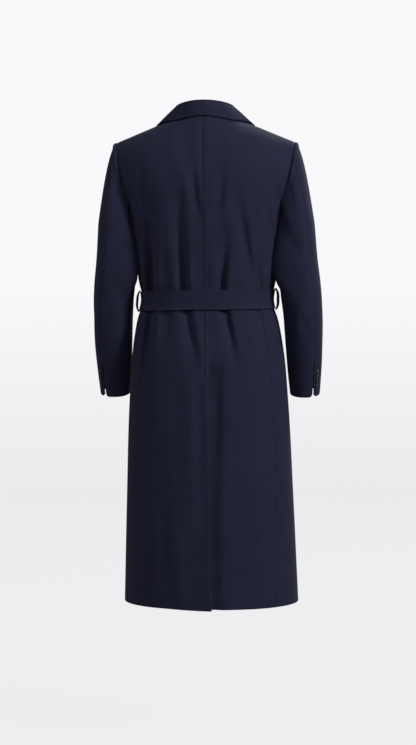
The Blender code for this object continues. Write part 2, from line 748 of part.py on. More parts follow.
def make_knot(material):
    """The tie's knot: a rounded block of rings, square across, that sits on the belt."""
    width, depth, height = KNOT_SIZE
    front_depth = from_table(BODY_RINGS, BODY_COLUMNS, "front_depth", BELT_MIDDLE)
    seat = -(front_depth + BELT_GAP + BELT_WALL + KNOT_GAP)
    spokes = np.linspace(0.0, 2.0 * math.pi, KNOT_SPOKES, endpoint=False)
    rings = []
    for tilt in np.linspace(-math.pi / 2, math.pi / 2, KNOT_RINGS + 1)[1:-1]:
        size = math.cos(tilt) ** 0.55
        forward = (math.sin(tilt) + 1.0) / 2.0
        x = width / 2 * size * np.sign(np.cos(spokes)) * np.abs(np.cos(spokes)) ** 0.7
        z = height / 2 * size * np.sign(np.sin(spokes)) * np.abs(np.sin(spokes)) ** 0.7
        y = np.full(KNOT_SPOKES, seat - depth * forward)
        rings.append(np.stack([x, y, z + BELT_MIDDLE], axis=-1))
    add_turned("belt_knot", np.stack(rings), material)


def make_belt_end(end, material):
    """A hanging end: a strip of the skirt's front, moved out, from under the knot."""
    start = BELT_BOTTOM - BELT_END_DROP
    heights = np.linspace(start, end["bottom"], BELT_END_ROWS)
    narrow = 0.5 + 0.5 * smooth_step((start - heights) / BELT_END_PINCH)
    across = end["middle"] + end["lean"] * (start - heights)
    half = BELT_END_WIDTH / 2 * narrow
    places = across[:, None] + half[:, None] * np.linspace(-1.0, 1.0, 4)[None, :]
    levels = np.repeat(heights[:, None], 4, axis=1)
    turns = turn_at(places, levels, True)
    under = ring_point(turns, levels, LAY_GAP)
    over = ring_point(turns, levels, LAY_GAP + BELT_WALL)
    add_sheet("belt_end_" + end["side"], over, under, material)


def make_belt_loops(material):
    """A narrow strip at each side, turned a little to the back, that stands off the belt and is sewn
    above and below it."""
    for word, side in SIDES:
        share = np.linspace(0.0, 1.0, LOOP_ROWS + 1)
        middle = belt_height(np.array([side * LOOP_REACH, 0.0, 0.0]), BELT_MIDDLE)
        half = (BELT_TOP - BELT_BOTTOM) / 2 + LOOP_OVERHANG
        heights = middle - half + 2.0 * half * share
        bulge = LOOP_BULGE * (1.0 - np.abs(2.0 * share - 1.0) ** 4)
        half_width = from_table(BODY_RINGS, BODY_COLUMNS, "half_width", heights)
        walls = []
        for thickness in (LOOP_WALL, 0.0):
            out = half_width + bulge + thickness + LOOP_LIFT
            line = np.stack([side * out, 0.0 * share, heights], axis=-1)
            across = np.array([-side * math.sin(LOOP_TWIST), math.cos(LOOP_TWIST), 0.0])
            offset = LOOP_WIDTH / 2 * across
            walls.append(np.stack([line - offset, line + offset], axis=1))
        add_sheet("belt_loop_" + word, walls[0], walls[1], material)


def make_cuff_buttons(material):
    """Four turned buttons in a row up each cuff, lying on the top sleeve beside the hind seam."""
    profile = ((0.55, 0.0), (1.0, 0.35), (0.92, 0.95), (0.66, 1.0), (0.52, 0.80))
    spokes = np.linspace(0.0, 2.0 * math.pi, BUTTON_SPOKES, endpoint=False)
    for word, side in SIDES:
        for number in range(BUTTON_COUNT):
            height = BUTTON_TOP - BUTTON_SPACING * number
            near = np.array([BUTTON_TURN - 0.05, BUTTON_TURN, BUTTON_TURN + 0.05])
            lines = np.stack([sleeve_ring(side, height + step, near) for step in (-0.005, 0.0, 0.005)])
            normal = normals_of(lines, (side * SLEEVE_RINGS[2][1], -0.05, height))[1, 1]
            seat = lines[1, 1]
            first = np.cross(normal, (0.0, 0.0, 1.0))
            first /= np.linalg.norm(first)
            second = np.cross(normal, first)
            ring = np.cos(spokes)[:, None] * first + np.sin(spokes)[:, None] * second
            rings = [seat + BUTTON_RADIUS * r * ring + BUTTON_HEIGHT * h * normal for r, h in profile]
            add_turned("cuff_button_" + word + "_" + str(number + 1), np.stack(rings), material)


def main():
    clear_scene()
    wool = principled("navy_wool", WOOL_NAVY, WOOL_ROUGHNESS)
    horn = principled("dark_horn", HORN_DARK, HORN_ROUGHNESS)
    grids = make_body(wool)
    make_sleeves(grids, wool)
    make_collar(grids, wool)
    make_lapels(grids, wool)
    make_belt(wool)
    make_belt_loops(wool)
    make_cuff_buttons(horn)


main()
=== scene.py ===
# %% [markdown]
# This lesson dresses a belted overcoat, which the CAD part holds as stiff walls, in soft wool.
# Every piece here is a thin shell on the form of one CAD piece. The coat could be made by
# simulating cloth on a body, but a tailored coat keeps a cut and pressed shape, so each panel is
# worked out from the same few rings and seam lines as its solid, and its creases are laid one by one.

# %% Load the frame
import math

import bpy
import numpy as np
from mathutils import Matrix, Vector


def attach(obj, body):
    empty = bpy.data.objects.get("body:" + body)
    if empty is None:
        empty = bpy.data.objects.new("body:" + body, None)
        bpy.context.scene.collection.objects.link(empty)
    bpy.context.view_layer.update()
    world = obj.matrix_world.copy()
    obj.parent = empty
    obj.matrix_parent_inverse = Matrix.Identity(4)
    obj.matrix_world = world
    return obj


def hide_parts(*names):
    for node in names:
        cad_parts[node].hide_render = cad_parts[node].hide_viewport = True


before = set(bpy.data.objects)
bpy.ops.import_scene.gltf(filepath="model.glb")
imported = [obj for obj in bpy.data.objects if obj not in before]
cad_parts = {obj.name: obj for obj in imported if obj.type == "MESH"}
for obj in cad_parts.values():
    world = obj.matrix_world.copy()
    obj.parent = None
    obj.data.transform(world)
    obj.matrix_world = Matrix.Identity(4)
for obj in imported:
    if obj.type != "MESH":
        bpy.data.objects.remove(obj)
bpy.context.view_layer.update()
COARSE = 1.0
SIDES = (("left", 1.0), ("right", -1.0))
print("loaded", len(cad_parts), "CAD pieces")

# %% [markdown]
# The camera stands behind the coat at belt height, 5.5 metres away, as in the reference view. A
# long lens keeps the shoulders and the hem in proportion. It could be placed by eye, but its
# height and its tilt were worked out from where level lines, such as the belt, lie flat.

# %% Camera
CAMERA_AZIMUTH = math.radians(184.0)
CAMERA_DISTANCE = 5.5
CAMERA_HEIGHT = -0.4654
CAMERA_PITCH = math.radians(2.2)
CAMERA_LENS = 102.2
AXIS_OFFSET = 0.0013


def aim(thing, place, target):
    """Puts a camera or a light at a place and turns its -Z axis towards a target."""
    thing.location = place
    direction = Vector(target) - Vector(place)
    thing.rotation_euler = direction.to_track_quat("-Z", "Y").to_euler()


camera = bpy.data.objects.new("camera", bpy.data.cameras.new("camera"))
bpy.context.scene.collection.objects.link(camera)
camera.data.lens = CAMERA_LENS
behind = np.array([math.sin(CAMERA_AZIMUTH), -math.cos(CAMERA_AZIMUTH), 0.0])
camera_place = CAMERA_DISTANCE * behind + np.array([-AXIS_OFFSET, 0.0, CAMERA_HEIGHT])
look_at = np.array([-AXIS_OFFSET, 0.0, CAMERA_HEIGHT - CAMERA_DISTANCE * math.tan(CAMERA_PITCH)])
aim(camera, tuple(camera_place), tuple(look_at))
bpy.context.scene.camera = camera
print("camera at", np.round(camera_place, 3))

# %% [markdown]
# The studio is a pale floor that curves up into a round wall, so no view shows a horizon. White
# surroundings light the coat from everywhere, and one large soft lamp on the picture's right
# makes that side brighter and shapes the folds. Weaker ones fill in from behind, from the left and
# from the front. The paper glows by itself, less on the floor than up the wall, and only the camera
# sees it, so it doesn't shut the surrounding light out.

# %% Floor and light
FLOOR_HEIGHT = -1.62
FLOOR_RADIUS = 6.5
WALL_RADIUS = 9.5
WALL_HEIGHT = 7.0
# Shares of the profile at which the floor starts to turn up and is upright
TURN_START = 0.4
TURN_END = 0.8
FLOOR_ROWS = 60
FLOOR_SPOKES = 96
# The paper's painted glow: its strength on the floor and up the wall, and the height over which it rises
FLOOR_GLOW = 0.855
WALL_GLOW = 0.975
GLOW_RISE = 1.2
SURROUNDING_LIGHT = 0.17
LAMP_TARGET = (0.0, 0.0, -0.55)


def srgb(code):
    """Linear red, green and blue of an sRGB colour written as six hex digits."""
    values = np.array([int(code[i:i + 2], 16) for i in (0, 2, 4)]) / 255.0
    linear = np.where(values <= 0.04045, values / 12.92, ((values + 0.055) / 1.055) ** 2.4)
    return (*linear, 1.0)


def fill_sockets(node, inputs):
    """Sets a node's inputs: pairs of socket name and a value or another node's socket."""
    for socket, value in inputs:
        if isinstance(value, bpy.types.NodeSocket):
            node.id_data.links.new(value, node.inputs[socket])
        else:
            node.inputs[socket].default_value = value


def add_node(tree, kind, inputs=(), **settings):
    """Adds one shader node with its settings and its inputs."""
    node = tree.nodes.new(kind)
    for key, value in settings.items():
        setattr(node, key, value)
    fill_sockets(node, inputs)
    return node


def new_material(name):
    """A node material, its tree and its Principled shader."""
    material = bpy.data.materials.new(name)
    material.use_nodes = True
    return material, material.node_tree, material.node_tree.nodes["Principled BSDF"]


def point_numbers(grid):
    """The number of each point of a grid, row by row."""
    return np.arange(grid[..., 0].size).reshape(grid.shape[:2])


def quads(index, wrap):
    """Faces of a grid of point numbers; wrap joins the last column to the first."""
    if wrap:
        index = np.concatenate([index, index[:, :1]], axis=1)
    return np.stack([index[:-1, :-1], index[:-1, 1:], index[1:, 1:], index[1:, :-1]], axis=-1).reshape(-1, 4)


def new_object(name, points, faces, material):
    """One smooth object in the scene, from points and faces."""
    mesh = bpy.data.meshes.new(name)
    mesh.from_pydata(points.tolist(), [], faces.tolist())
    mesh.shade_smooth()
    mesh.materials.append(material)
    thing = bpy.data.objects.new(name, mesh)
    bpy.context.scene.collection.objects.link(thing)
    return thing


# Matt studio paper: a dark grey base with a painted white glow that stands in for the light on it, dimmer on
# the floor than up the wall
paper, tree, shader = new_material("studio_paper")
place = add_node(tree, "ShaderNodeTexCoord").outputs["Object"]
level = add_node(tree, "ShaderNodeSeparateXYZ", [("Vector", place)]).outputs["Z"]
glow = add_node(tree, "ShaderNodeMapRange", [
    ("Value", level), ("From Min", FLOOR_HEIGHT), ("From Max", FLOOR_HEIGHT + GLOW_RISE),
    ("To Min", FLOOR_GLOW), ("To Max", WALL_GLOW)])
fill_sockets(shader, [
    ("Base Color", srgb("3C3C3D")), ("Roughness", 1.0), ("Specular IOR Level", 0.0),
    ("Emission Color", srgb("FAFAFC")), ("Emission Strength", glow.outputs["Result"])])


def floor_profile(share):
    """Radius and height along the floor: flat, then a quarter turn, then upright."""
    corner = WALL_RADIUS - FLOOR_RADIUS
    turn = np.clip((share - TURN_START) / (TURN_END - TURN_START), 0.0, 1.0) * math.pi / 2
    flat = FLOOR_RADIUS * share / TURN_START
    radius = np.where(share < TURN_START, flat, FLOOR_RADIUS + corner * np.sin(turn))
    rise = np.clip((share - TURN_END) / (1.0 - TURN_END), 0.0, 1.0) * (WALL_HEIGHT - corner)
    return radius, FLOOR_HEIGHT + corner * (1.0 - np.cos(turn)) + rise


share = np.linspace(0.0, 1.0, FLOOR_ROWS)
spin = np.linspace(0.0, 2.0 * math.pi, FLOOR_SPOKES, endpoint=False)
radius, height = floor_profile(share)
floor_points = np.stack([radius[:, None] * np.cos(spin), radius[:, None] * np.sin(spin),
                         height[:, None] + 0.0 * spin], axis=-1)
floor_faces = quads(point_numbers(floor_points), True)
floor = new_object("studio_floor", floor_points.reshape(-1, 3), floor_faces, paper)
floor.visible_shadow = False
floor.visible_diffuse = False
floor.visible_glossy = False

world = bpy.data.worlds.new("studio")
bpy.context.scene.world = world
world.use_nodes = True
fill_sockets(world.node_tree.nodes["Background"], [
    ("Color", (1.0, 1.0, 1.0, 1.0)), ("Strength", SURROUNDING_LIGHT)])

LAMP_COLUMNS = ("name", "place", "size", "power")
LAMPS = (
    ("key", (-3.6, 2.2, 1.9), 1.1, 190.0),
    ("fill", (0.2, 5.2, 2.0), 1.2, 64.0),
    ("rim", (3.8, 1.4, 1.2), 1.2, 32.0),
    ("front", (-1.8, -3.6, 2.4), 1.6, 120.0),
)
for row in LAMPS:
    lamp = dict(zip(LAMP_COLUMNS, row))
    light = bpy.data.lights.new(lamp["name"], "AREA")
    light.shape = "DISK"
    light.size = lamp["size"]
    light.energy = lamp["power"]
    holder = bpy.data.objects.new(lamp["name"], light)
    bpy.context.scene.collection.objects.link(holder)
    aim(holder, lamp["place"], LAMP_TARGET)
bpy.context.scene.view_settings.view_transform = "Standard"
print("studio floor at", FLOOR_HEIGHT, "with", len(LAMPS), "lamps")

# %% [markdown]
# Wool coating is dull and very dark, with a soft nap that catches light where the cloth turns
# away. The look comes from a rough base, a bluish sheen for the nap, and a bump of small clumps.
# The nap of real coating is under a millimetre, too fine for this picture, so it is drawn at three
# millimetres. The buttons are polished resin that looks like dark horn.

# %% Materials
# Clumps of nap, slow changes of the wool's shade, and streaks in the horn, in metres
NAP_WIDTH = 1.0 / 330.0
CLOUD_WIDTH = 0.040
STREAK_LENGTH = 0.004
NAP_HEIGHT = 0.0006
# Sockets of a Mix node that mixes two colours
FIRST_COLOUR = 6
SECOND_COLOUR = 7
MIXED_COLOUR = 2

# Brushed navy wool: dull, with a sheen at grazing angles
wool, tree, shader = new_material("navy_wool")
place = add_node(tree, "ShaderNodeTexCoord").outputs["Object"]
nap = add_node(tree, "ShaderNodeTexNoise", [("Vector", place), ("Scale", 1.0 / NAP_WIDTH), ("Detail", 3.0)])
cloud = add_node(tree, "ShaderNodeTexNoise",
                 [("Vector", place), ("Scale", 1.0 / CLOUD_WIDTH), ("Detail", 2.0)])
mixed = add_node(tree, "ShaderNodeMath", [(0, nap.outputs[0]), (1, cloud.outputs[0])], operation="ADD")
shade = add_node(tree, "ShaderNodeMapRange",
                 [("Value", mixed.outputs[0]), ("From Min", 0.6), ("From Max", 1.4)])
tone = add_node(tree, "ShaderNodeMix", [
    ("Factor", shade.outputs["Result"]), (FIRST_COLOUR, srgb("1A1B2E")), (SECOND_COLOUR, srgb("202139"))],
    data_type="RGBA")
bump = add_node(tree, "ShaderNodeBump",
                [("Height", nap.outputs[0]), ("Strength", 0.25), ("Distance", NAP_HEIGHT)])
fill_sockets(shader, [
    ("Base Color", tone.outputs[MIXED_COLOUR]), ("Normal", bump.outputs["Normal"]),
    ("Roughness", 0.9), ("IOR", 1.5), ("Specular IOR Level", 0.2),
    ("Sheen Weight", 0.03), ("Sheen Roughness", 0.45), ("Sheen Tint", srgb("C8CCF0"))])

# Navy sewing thread: a little smoother than the wool
thread, tree, shader = new_material("navy_thread")
fill_sockets(shader, [("Base Color", srgb("22243C")), ("Roughness", 0.6), ("IOR", 1.5)])

# Dark horn-like resin: polished, with faint streaks
horn, tree, shader = new_material("dark_horn")
place = add_node(tree, "ShaderNodeTexCoord").outputs["Object"]
streak = add_node(tree, "ShaderNodeTexNoise",
                  [("Vector", place), ("Scale", 1.0 / STREAK_LENGTH), ("Detail", 2.0)])
tone = add_node(tree, "ShaderNodeMix", [
    ("Factor", streak.outputs[0]), (FIRST_COLOUR, srgb("16141A")), (SECOND_COLOUR, srgb("3A3430"))],
    data_type="RGBA")
fill_sockets(shader, [("Base Color", tone.outputs[MIXED_COLOUR]), ("Roughness", 0.25), ("IOR", 1.55)])
print("materials", [m.name for m in (wool, thread, horn, paper)])

# %% [markdown]
# A few small curves shape everything: an eased step, a bell, a circle with corners, a cubic between
# two points with a pull at each end, and a smooth line through the rows of a table. Bought pattern
# software has the same tools, but written out they show how a panel depends on a handful of sizes.

# %% Curves
# Distances from an edge at which its rounding is drawn
NEAR_EDGE = np.array([0.0, 0.0003, 0.0007, 0.0013, 0.0022, 0.0036])


def smooth_step(value):
    """0 below nought, 1 above one, and an eased rise between."""
    t = np.clip(value, 0.0, 1.0)
    return t * t * (3.0 - 2.0 * t)


def bell(value):
    """A bell curve: e to the power of minus the value's square."""
    return np.exp(-(value**2))


def rounded(turn, power):
    """Cosine and sine of a turn, raised to a power below one, so that a circle grows corners."""
    way = np.stack([np.cos(turn), np.sin(turn)])
    return np.sign(way) * np.abs(way) ** power


def hermite(start, start_pull, end, end_pull, t):
    """A cubic from start to end that leaves and arrives along the two pulls."""
    return ((2 * t**3 - 3 * t**2 + 1) * start + (t**3 - 2 * t**2 + t) * start_pull
            + (3 * t**2 - 2 * t**3) * end + (t**3 - t**2) * end_pull)


def from_table(table, columns, name, place):
    """A column of a table at any place along its first column, by cubics through its rows."""
    rows = np.array(sorted(table))
    places = rows[:, 0]
    values = rows[:, columns.index(name)]
    slopes = np.gradient(values, places)
    place = np.asarray(place, dtype=float)
    low = np.clip(np.searchsorted(places, place) - 1, 0, len(places) - 2)
    span = places[low + 1] - places[low]
    t = (place - places[low]) / span
    return hermite(values[low], slopes[low] * span, values[low + 1], slopes[low + 1] * span, t)


def row_at(table, columns, place):
    """All columns of a table but its first, at any place along that one."""
    return [from_table(table, columns, name, place) for name in columns[1:]]


def edged(length, step):
    """Places from nought to a length: even steps, closer together towards both ends."""
    count = max(3, round(length / (step * COARSE)))
    inner = np.linspace(NEAR_EDGE[-1], length - NEAR_EDGE[-1], count)
    return np.concatenate([NEAR_EDGE[:-1], inner, length - NEAR_EDGE[-2::-1]])


def edged_shares(length, step):
    """The same places as shares of the length."""
    return edged(length, step) / length


def unit(vectors):
    """Vectors of length one."""
    return vectors / np.linalg.norm(vectors, axis=-1, keepdims=True)


def normals_of(points, inside):
    """Unit normals of a grid: across times along, turned away from a point that lies inside."""
    normals = unit(np.cross(np.gradient(points, axis=1), np.gradient(points, axis=0)))
    outward = np.sum(normals * (points - np.asarray(inside)), axis=-1).mean()
    return normals if outward > 0.0 else -normals


def distance_along(points, axis):
    """Distance of each grid point from the grid's first line, measured along an axis."""
    steps = np.linalg.norm(np.diff(points, axis=axis), axis=-1)
    total = np.cumsum(steps, axis=axis)
    return np.insert(total, 0, 0.0, axis=axis)


def read_along(values, length, place):
    """Values along a path, straight between its points, at places on its length."""
    return np.stack([np.interp(place, length, values[:, k]) for k in range(3)], axis=-1)


print("rounded edges are drawn in", len(NEAR_EDGE), "steps")

# %% [markdown]
# A cloth wall is two copies of one grid, a wall's thickness apart, that close on each other in a
# rounded rim. A solidify modifier could thicken a single sheet, but its rim is square. Rounding
# each rim lets two panels that meet make their own seam line: two soft edges with a groove between.

# %% Cloth walls
LEAN = 0.0135
BELT_MIDDLE = -0.488
WALL = 0.0025
SEAM_ROLL = 0.0030
FREE_ROLL = 0.0016
FREE_RIMS = (FREE_ROLL,) * 4
made = {}


def quarter_round(distance, reach):
    """How far an edge is drawn in: one at the edge, falling along a quarter circle to nought."""
    t = np.clip(1.0 - distance / reach, 0.0, 1.0)
    return 1.0 - np.sqrt(1.0 - t * t)


def add_mesh(name, vertices, faces, material):
    """One object at the origin from points and faces, leaning as the coat does."""
    vertices = vertices + LEAN * (vertices[:, 2:] - BELT_MIDDLE) * np.array([1.0, 0.0, 0.0])
    made[name] = new_object(name, vertices, faces, material)


def add_turned(name, rings, material):
    """One object from rings of points, each joined into a circle."""
    add_mesh(name, rings.reshape(-1, 3), quads(point_numbers(rings), True), material)


def cloth(name, points, normals, wall, rolls, wrap=False, groove=0.0):
    """A closed wall under a grid. rolls are how far the rims of the first and last row, then of the
    first and last column, are rounded: numbers or one value for each point of that rim."""
    along = distance_along(points, 0)
    across = distance_along(points, 1)
    gaps = [along, along[-1:] - along]
    if not wrap:
        gaps += [across, across[:, -1:] - across]
    drawn = np.zeros(points.shape[:2])
    closed = np.zeros(points.shape[:2])
    for number, gap in enumerate(gaps):
        roll = np.asarray(rolls[number], dtype=float)
        roll = roll[None, :] if number < 2 and roll.ndim else roll
        roll = roll[:, None] if number >= 2 and roll.ndim else roll
        drawn = np.maximum(drawn, quarter_round(gap, roll))
        closed = np.maximum(closed, quarter_round(gap, wall / 2))
    outer = points - ((drawn * wall / 2) + groove)[..., None] * normals
    inner = points - (wall - closed * wall / 2 + groove)[..., None] * normals
    top = point_numbers(points)
    under = top + top.size
    under[[0, -1]] = top[[0, -1]]
    if not wrap:
        under[:, [0, -1]] = top[:, [0, -1]]
    facing = np.sum(np.cross(np.gradient(points, axis=1), np.gradient(points, axis=0)) * normals)
    upper = quads(top, wrap)
    lower = quads(under, wrap)[:, ::-1]
    faces = np.concatenate([upper, lower])
    if facing < 0.0:
        faces = faces[:, ::-1]
    used, faces = np.unique(faces, return_inverse=True)
    vertices = np.concatenate([outer.reshape(-1, 3), inner.reshape(-1, 3)])[used]
    add_mesh(name, vertices, faces.reshape(-1, 4), wool)


print("cloth walls are", WALL * 1000, "mm thick")

# %% [markdown]
# The body is a stack of rings, each a rounded rectangle: wide at the hem, pinched at the belt,
# wide again at the chest. A ring is written in polar form, so a point needs only a turn and a
# height. Long seams follow their own places across, and folds are soft troughs laid on top.

# %% Body form
HEM = -1.270
VENT_TOP = -0.690
VENT_TURN = -0.715
FLAP_TURN = -0.693
BELT_BOTTOM = -0.513
BELT_TOP = -0.463
UNDERARM = -0.300
CHEST = -0.235
ARMHOLE_SCOOP = 0.024
NECK_BACK = np.array([0.0, 0.056, -0.008])
NECK_SIDE = np.array([0.072, -0.004, -0.014])
SHOULDER_POINT = np.array([0.2315, -0.010, -0.0793])
BODY_INSIDE = (0.0, 0.0, -0.32)
BODY_COLUMNS = ("height", "half_width", "back_depth", "front_depth", "squareness")
BODY_RINGS = (
    (-1.270, 0.2265, 0.190, 0.190, 2.10),
    (-1.000, 0.2170, 0.173, 0.176, 2.12),
    (-0.750, 0.2065, 0.153, 0.158, 2.16),
    (-0.620, 0.1965, 0.140, 0.147, 2.20),
    (-0.540, 0.1830, 0.126, 0.137, 2.25),
    (-0.488, 0.1685, 0.119, 0.131, 2.30),
    (-0.440, 0.1775, 0.121, 0.134, 2.32),
    (-0.375, 0.1860, 0.124, 0.140, 2.36),
    (-0.300, 0.1970, 0.128, 0.145, 2.40),
    (-0.235, 0.2065, 0.130, 0.147, 2.40),
)
SEAM_COLUMNS = ("height", "side_back", "side_front")
SEAM_PLACES = (
    (-1.270, 0.175, 0.196),
    (-0.750, 0.171, 0.184),
    (-0.600, 0.158, 0.172),
    (-0.488, 0.140, 0.152),
    (-0.375, 0.160, 0.168),
    (-0.235, 0.195, 0.190),
)


def ring_sizes(height):
    """Half width, back depth, front depth and squareness of the ring at a height."""
    return row_at(BODY_RINGS, BODY_COLUMNS, height)


def turn_at(across, height, front):
    """Turn from the middle back to the point of a ring that lies this far across, on one half."""
    half_width, back_depth, front_depth, squareness = ring_sizes(height)
    depth = front_depth if front else back_depth
    share = np.minimum(np.abs(across) / half_width, 1.0)
    reach = depth * (1.0 - share**squareness) ** (1.0 / squareness)
    turn = np.arctan2(across, reach)
    return math.pi - turn if front else turn


def ring_point(turn, height, out=0.0):
    """A point of a ring: (|sin/width|^n + |cos/depth|^n)^(-1/n) from the middle, moved out."""
    turn, height = np.broadcast_arrays(np.asarray(turn, dtype=float), np.asarray(height, dtype=float))
    half_width, back_depth, front_depth, squareness = ring_sizes(height)
    depth = np.where(np.cos(turn) >= 0.0, back_depth, front_depth)
    radius = (np.abs(np.sin(turn) / half_width) ** squareness
              + np.abs(np.cos(turn) / depth) ** squareness) ** (-1.0 / squareness) + out
    return np.stack([radius * np.sin(turn), radius * np.cos(turn), height], axis=-1)


def seam_turn(name, height):
    """Turn of a long seam at a height."""
    across = from_table(SEAM_PLACES, SEAM_COLUMNS, name, height)
    return turn_at(across, height, name == "side_front")


# Row heights of the rings from the hem to the chest, then shares of the way up to the neck
YOKE_LENGTH = 0.22
YOKE_STEP = 0.0045
ROW_STEP = 0.0055
ring_heights = np.union1d(HEM + edged(CHEST - HEM, ROW_STEP), [FLAP_TURN, VENT_TOP])
yoke_shares = edged_shares(YOKE_LENGTH, YOKE_STEP)[len(NEAR_EDGE) - 1:]
ROW_AXIS = np.concatenate([ring_heights, CHEST + yoke_shares])
print("body rows", len(ROW_AXIS), "of which", len(ring_heights), "are rings")

# %% [markdown]
# Folds are what make cloth look worn. Each row of the tables below is one trough: the place across
# and the height of its upper end, its deepest point and its lower end, then its depth and its width,
# where a negative depth is a ridge. A simulation would crease the whole coat evenly, while on a
# tailored coat creases start at the belt and the armholes, so they are laid where they were seen,
# and laid alike on the hidden front.

# %% Folds
BACK_FOLDS = (
    (0.140, -0.197, 0.138, -0.450, 0.138, -0.517, 0.0250, 0.0110),
    (0.158, -0.137, 0.156, -0.212, 0.151, -0.289, 0.0050, 0.0060),
    (0.187, -0.143, 0.189, -0.205, 0.186, -0.272, 0.0040, 0.0055),
    (0.064, -0.152, 0.051, -0.450, 0.048, -0.516, 0.0160, 0.0100),
    (0.030, -0.106, 0.018, -0.219, 0.009, -0.310, 0.0060, 0.0080),
    (-0.060, -0.116, -0.046, -0.224, -0.037, -0.305, 0.0060, 0.0095),
    (-0.081, -0.173, -0.110, -0.361, -0.130, -0.488, 0.0085, 0.0105),
    (-0.131, -0.315, -0.139, -0.430, -0.145, -0.499, 0.0045, 0.0065),
    (-0.060, -0.305, -0.047, -0.450, -0.042, -0.516, 0.0140, 0.0085),
    (-0.155, -0.228, -0.168, -0.289, -0.181, -0.365, 0.0050, 0.0065),
    (-0.188, -0.129, -0.187, -0.196, -0.188, -0.252, 0.0035, 0.0055),
    (0.081, -0.371, 0.092, -0.450, 0.094, -0.509, 0.0022, 0.0080),
    (0.139, -0.463, 0.144, -0.545, 0.161, -0.765, 0.0200, 0.0110),
    (0.049, -0.463, 0.038, -0.539, 0.020, -0.676, 0.0120, 0.0090),
    (-0.044, -0.463, -0.059, -0.539, -0.079, -0.681, 0.0120, 0.0090),
    (-0.040, -0.554, -0.035, -0.736, -0.032, -1.067, 0.0052, 0.0130),
    (0.039, -0.645, 0.036, -0.792, 0.040, -1.093, -0.0040, 0.0120),
    (-0.130, -0.478, -0.136, -0.534, -0.144, -0.621, 0.0040, 0.0090),
    (0.088, -0.478, 0.094, -0.534, 0.099, -0.621, 0.0040, 0.0090),
    (0.116, -0.793, 0.110, -1.095, 0.112, -1.347, 0.0026, 0.0180),
    (-0.143, -0.793, -0.145, -1.095, -0.144, -1.347, -0.0026, 0.0180),
    (-0.088, -0.817, -0.088, -1.118, -0.083, -1.343, 0.0026, 0.0180),
    (0.062, -0.993, 0.064, -1.218, 0.066, -1.369, -0.0024, 0.0160),
)
FRONT_FOLDS = (
    (0.150, -0.230, 0.124, -0.410, 0.120, -0.494, 0.0100, 0.0130),
    (0.080, -0.290, 0.062, -0.420, 0.058, -0.494, 0.0070, 0.0110),
    (0.185, -0.200, 0.175, -0.280, 0.168, -0.350, 0.0045, 0.0090),
    (-0.140, -0.250, -0.128, -0.410, -0.124, -0.494, 0.0095, 0.0130),
    (-0.184, -0.210, -0.174, -0.280, -0.168, -0.345, 0.0045, 0.0090),
    (0.150, -0.400, 0.152, -0.450, 0.150, -0.494, 0.0030, 0.0080),
    (-0.072, -0.390, -0.070, -0.440, -0.068, -0.494, 0.0030, 0.0080),
    (0.090, -0.494, 0.104, -0.565, 0.118, -0.720, 0.0090, 0.0120),
    (0.140, -0.494, 0.146, -0.545, 0.152, -0.620, 0.0040, 0.0090),
    (-0.130, -0.494, -0.140, -0.570, -0.150, -0.740, 0.0090, 0.0120),
    (-0.066, -0.494, -0.072, -0.540, -0.080, -0.620, 0.0040, 0.0090),
    (0.108, -0.800, 0.112, -1.100, 0.112, -1.350, 0.0040, 0.0200),
    (-0.132, -0.780, -0.134, -1.080, -0.136, -1.350, 0.0040, 0.0200),
    (0.050, -0.850, 0.048, -1.130, 0.048, -1.350, -0.0035, 0.0200),
)
RIDGE_SHARE = 0.20
RIDGE_PLACE = 1.8
RIDGE_WIDTH = 0.95
# A fold spreads out where it dies away
FOLD_SPREAD = 0.55
FOLD_RISE = 0.75
# Its left side is softer than its right one, except past a place near the left side seam
SOFT_SIDE = 1.5
STEEP_SIDE = 0.95
EVEN_PLACE = 0.10
# No ridge rises this close to the belt's middle
BELT_HOLD = 0.032


def through(z, z1, x1, z2, x2, z3, x3):
    """The parabola x(z) through three points, by Lagrange's formula."""
    return (x1 * (z - z2) * (z - z3) / ((z1 - z2) * (z1 - z3))
            + x2 * (z - z1) * (z - z3) / ((z2 - z1) * (z2 - z3))
            + x3 * (z - z1) * (z - z2) / ((z3 - z1) * (z3 - z2)))


def fold_depth(table, points):
    """Depth of all folds at points: a bell e^-(a/width)^2 across a curved middle line, softer on one
    side, with a low ridge at each side, times an eased run from the fold's ends to its deepest place."""
    rows = np.array(table).T[:, :, None, None]
    top_x, top_z, deep_x, deep_z, low_x, low_z, depth, width = rows
    z = points[None, ..., 2]
    middle = through(np.clip(z, low_z, top_z), top_z, top_x, deep_z, deep_x, low_z, low_x)
    run = smooth_step((top_z - z) / (top_z - deep_z)) * smooth_step((z - low_z) / (deep_z - low_z))
    run = run**FOLD_RISE
    aside = (points[None, ..., 0] - middle) / (width * (1.0 + FOLD_SPREAD * (1.0 - run)))
    soft = np.where(middle > EVEN_PLACE, 1.0, SOFT_SIDE)
    aside = np.where(aside > 0.0, aside / soft, -aside / STEEP_SIDE)
    ridge = bell((aside - RIDGE_PLACE) / RIDGE_WIDTH)
    free = 1.0 - np.exp(-(((z - BELT_MIDDLE) / BELT_HOLD) ** 4))
    return (depth * run * (bell(aside) - RIDGE_SHARE * free * ridge)).sum(axis=0)


print("folds laid:", len(BACK_FOLDS), "behind and", len(FRONT_FOLDS), "in front")

# %% [markdown]
# Each back panel runs from the middle seam to the side seam, and from the hem up over the shoulder
# blade to the neck and the shoulder seam. Below the vent the left panel passes the middle and lies
# over the right. Columns share out a ring evenly by turn; above the chest each column is one cubic.

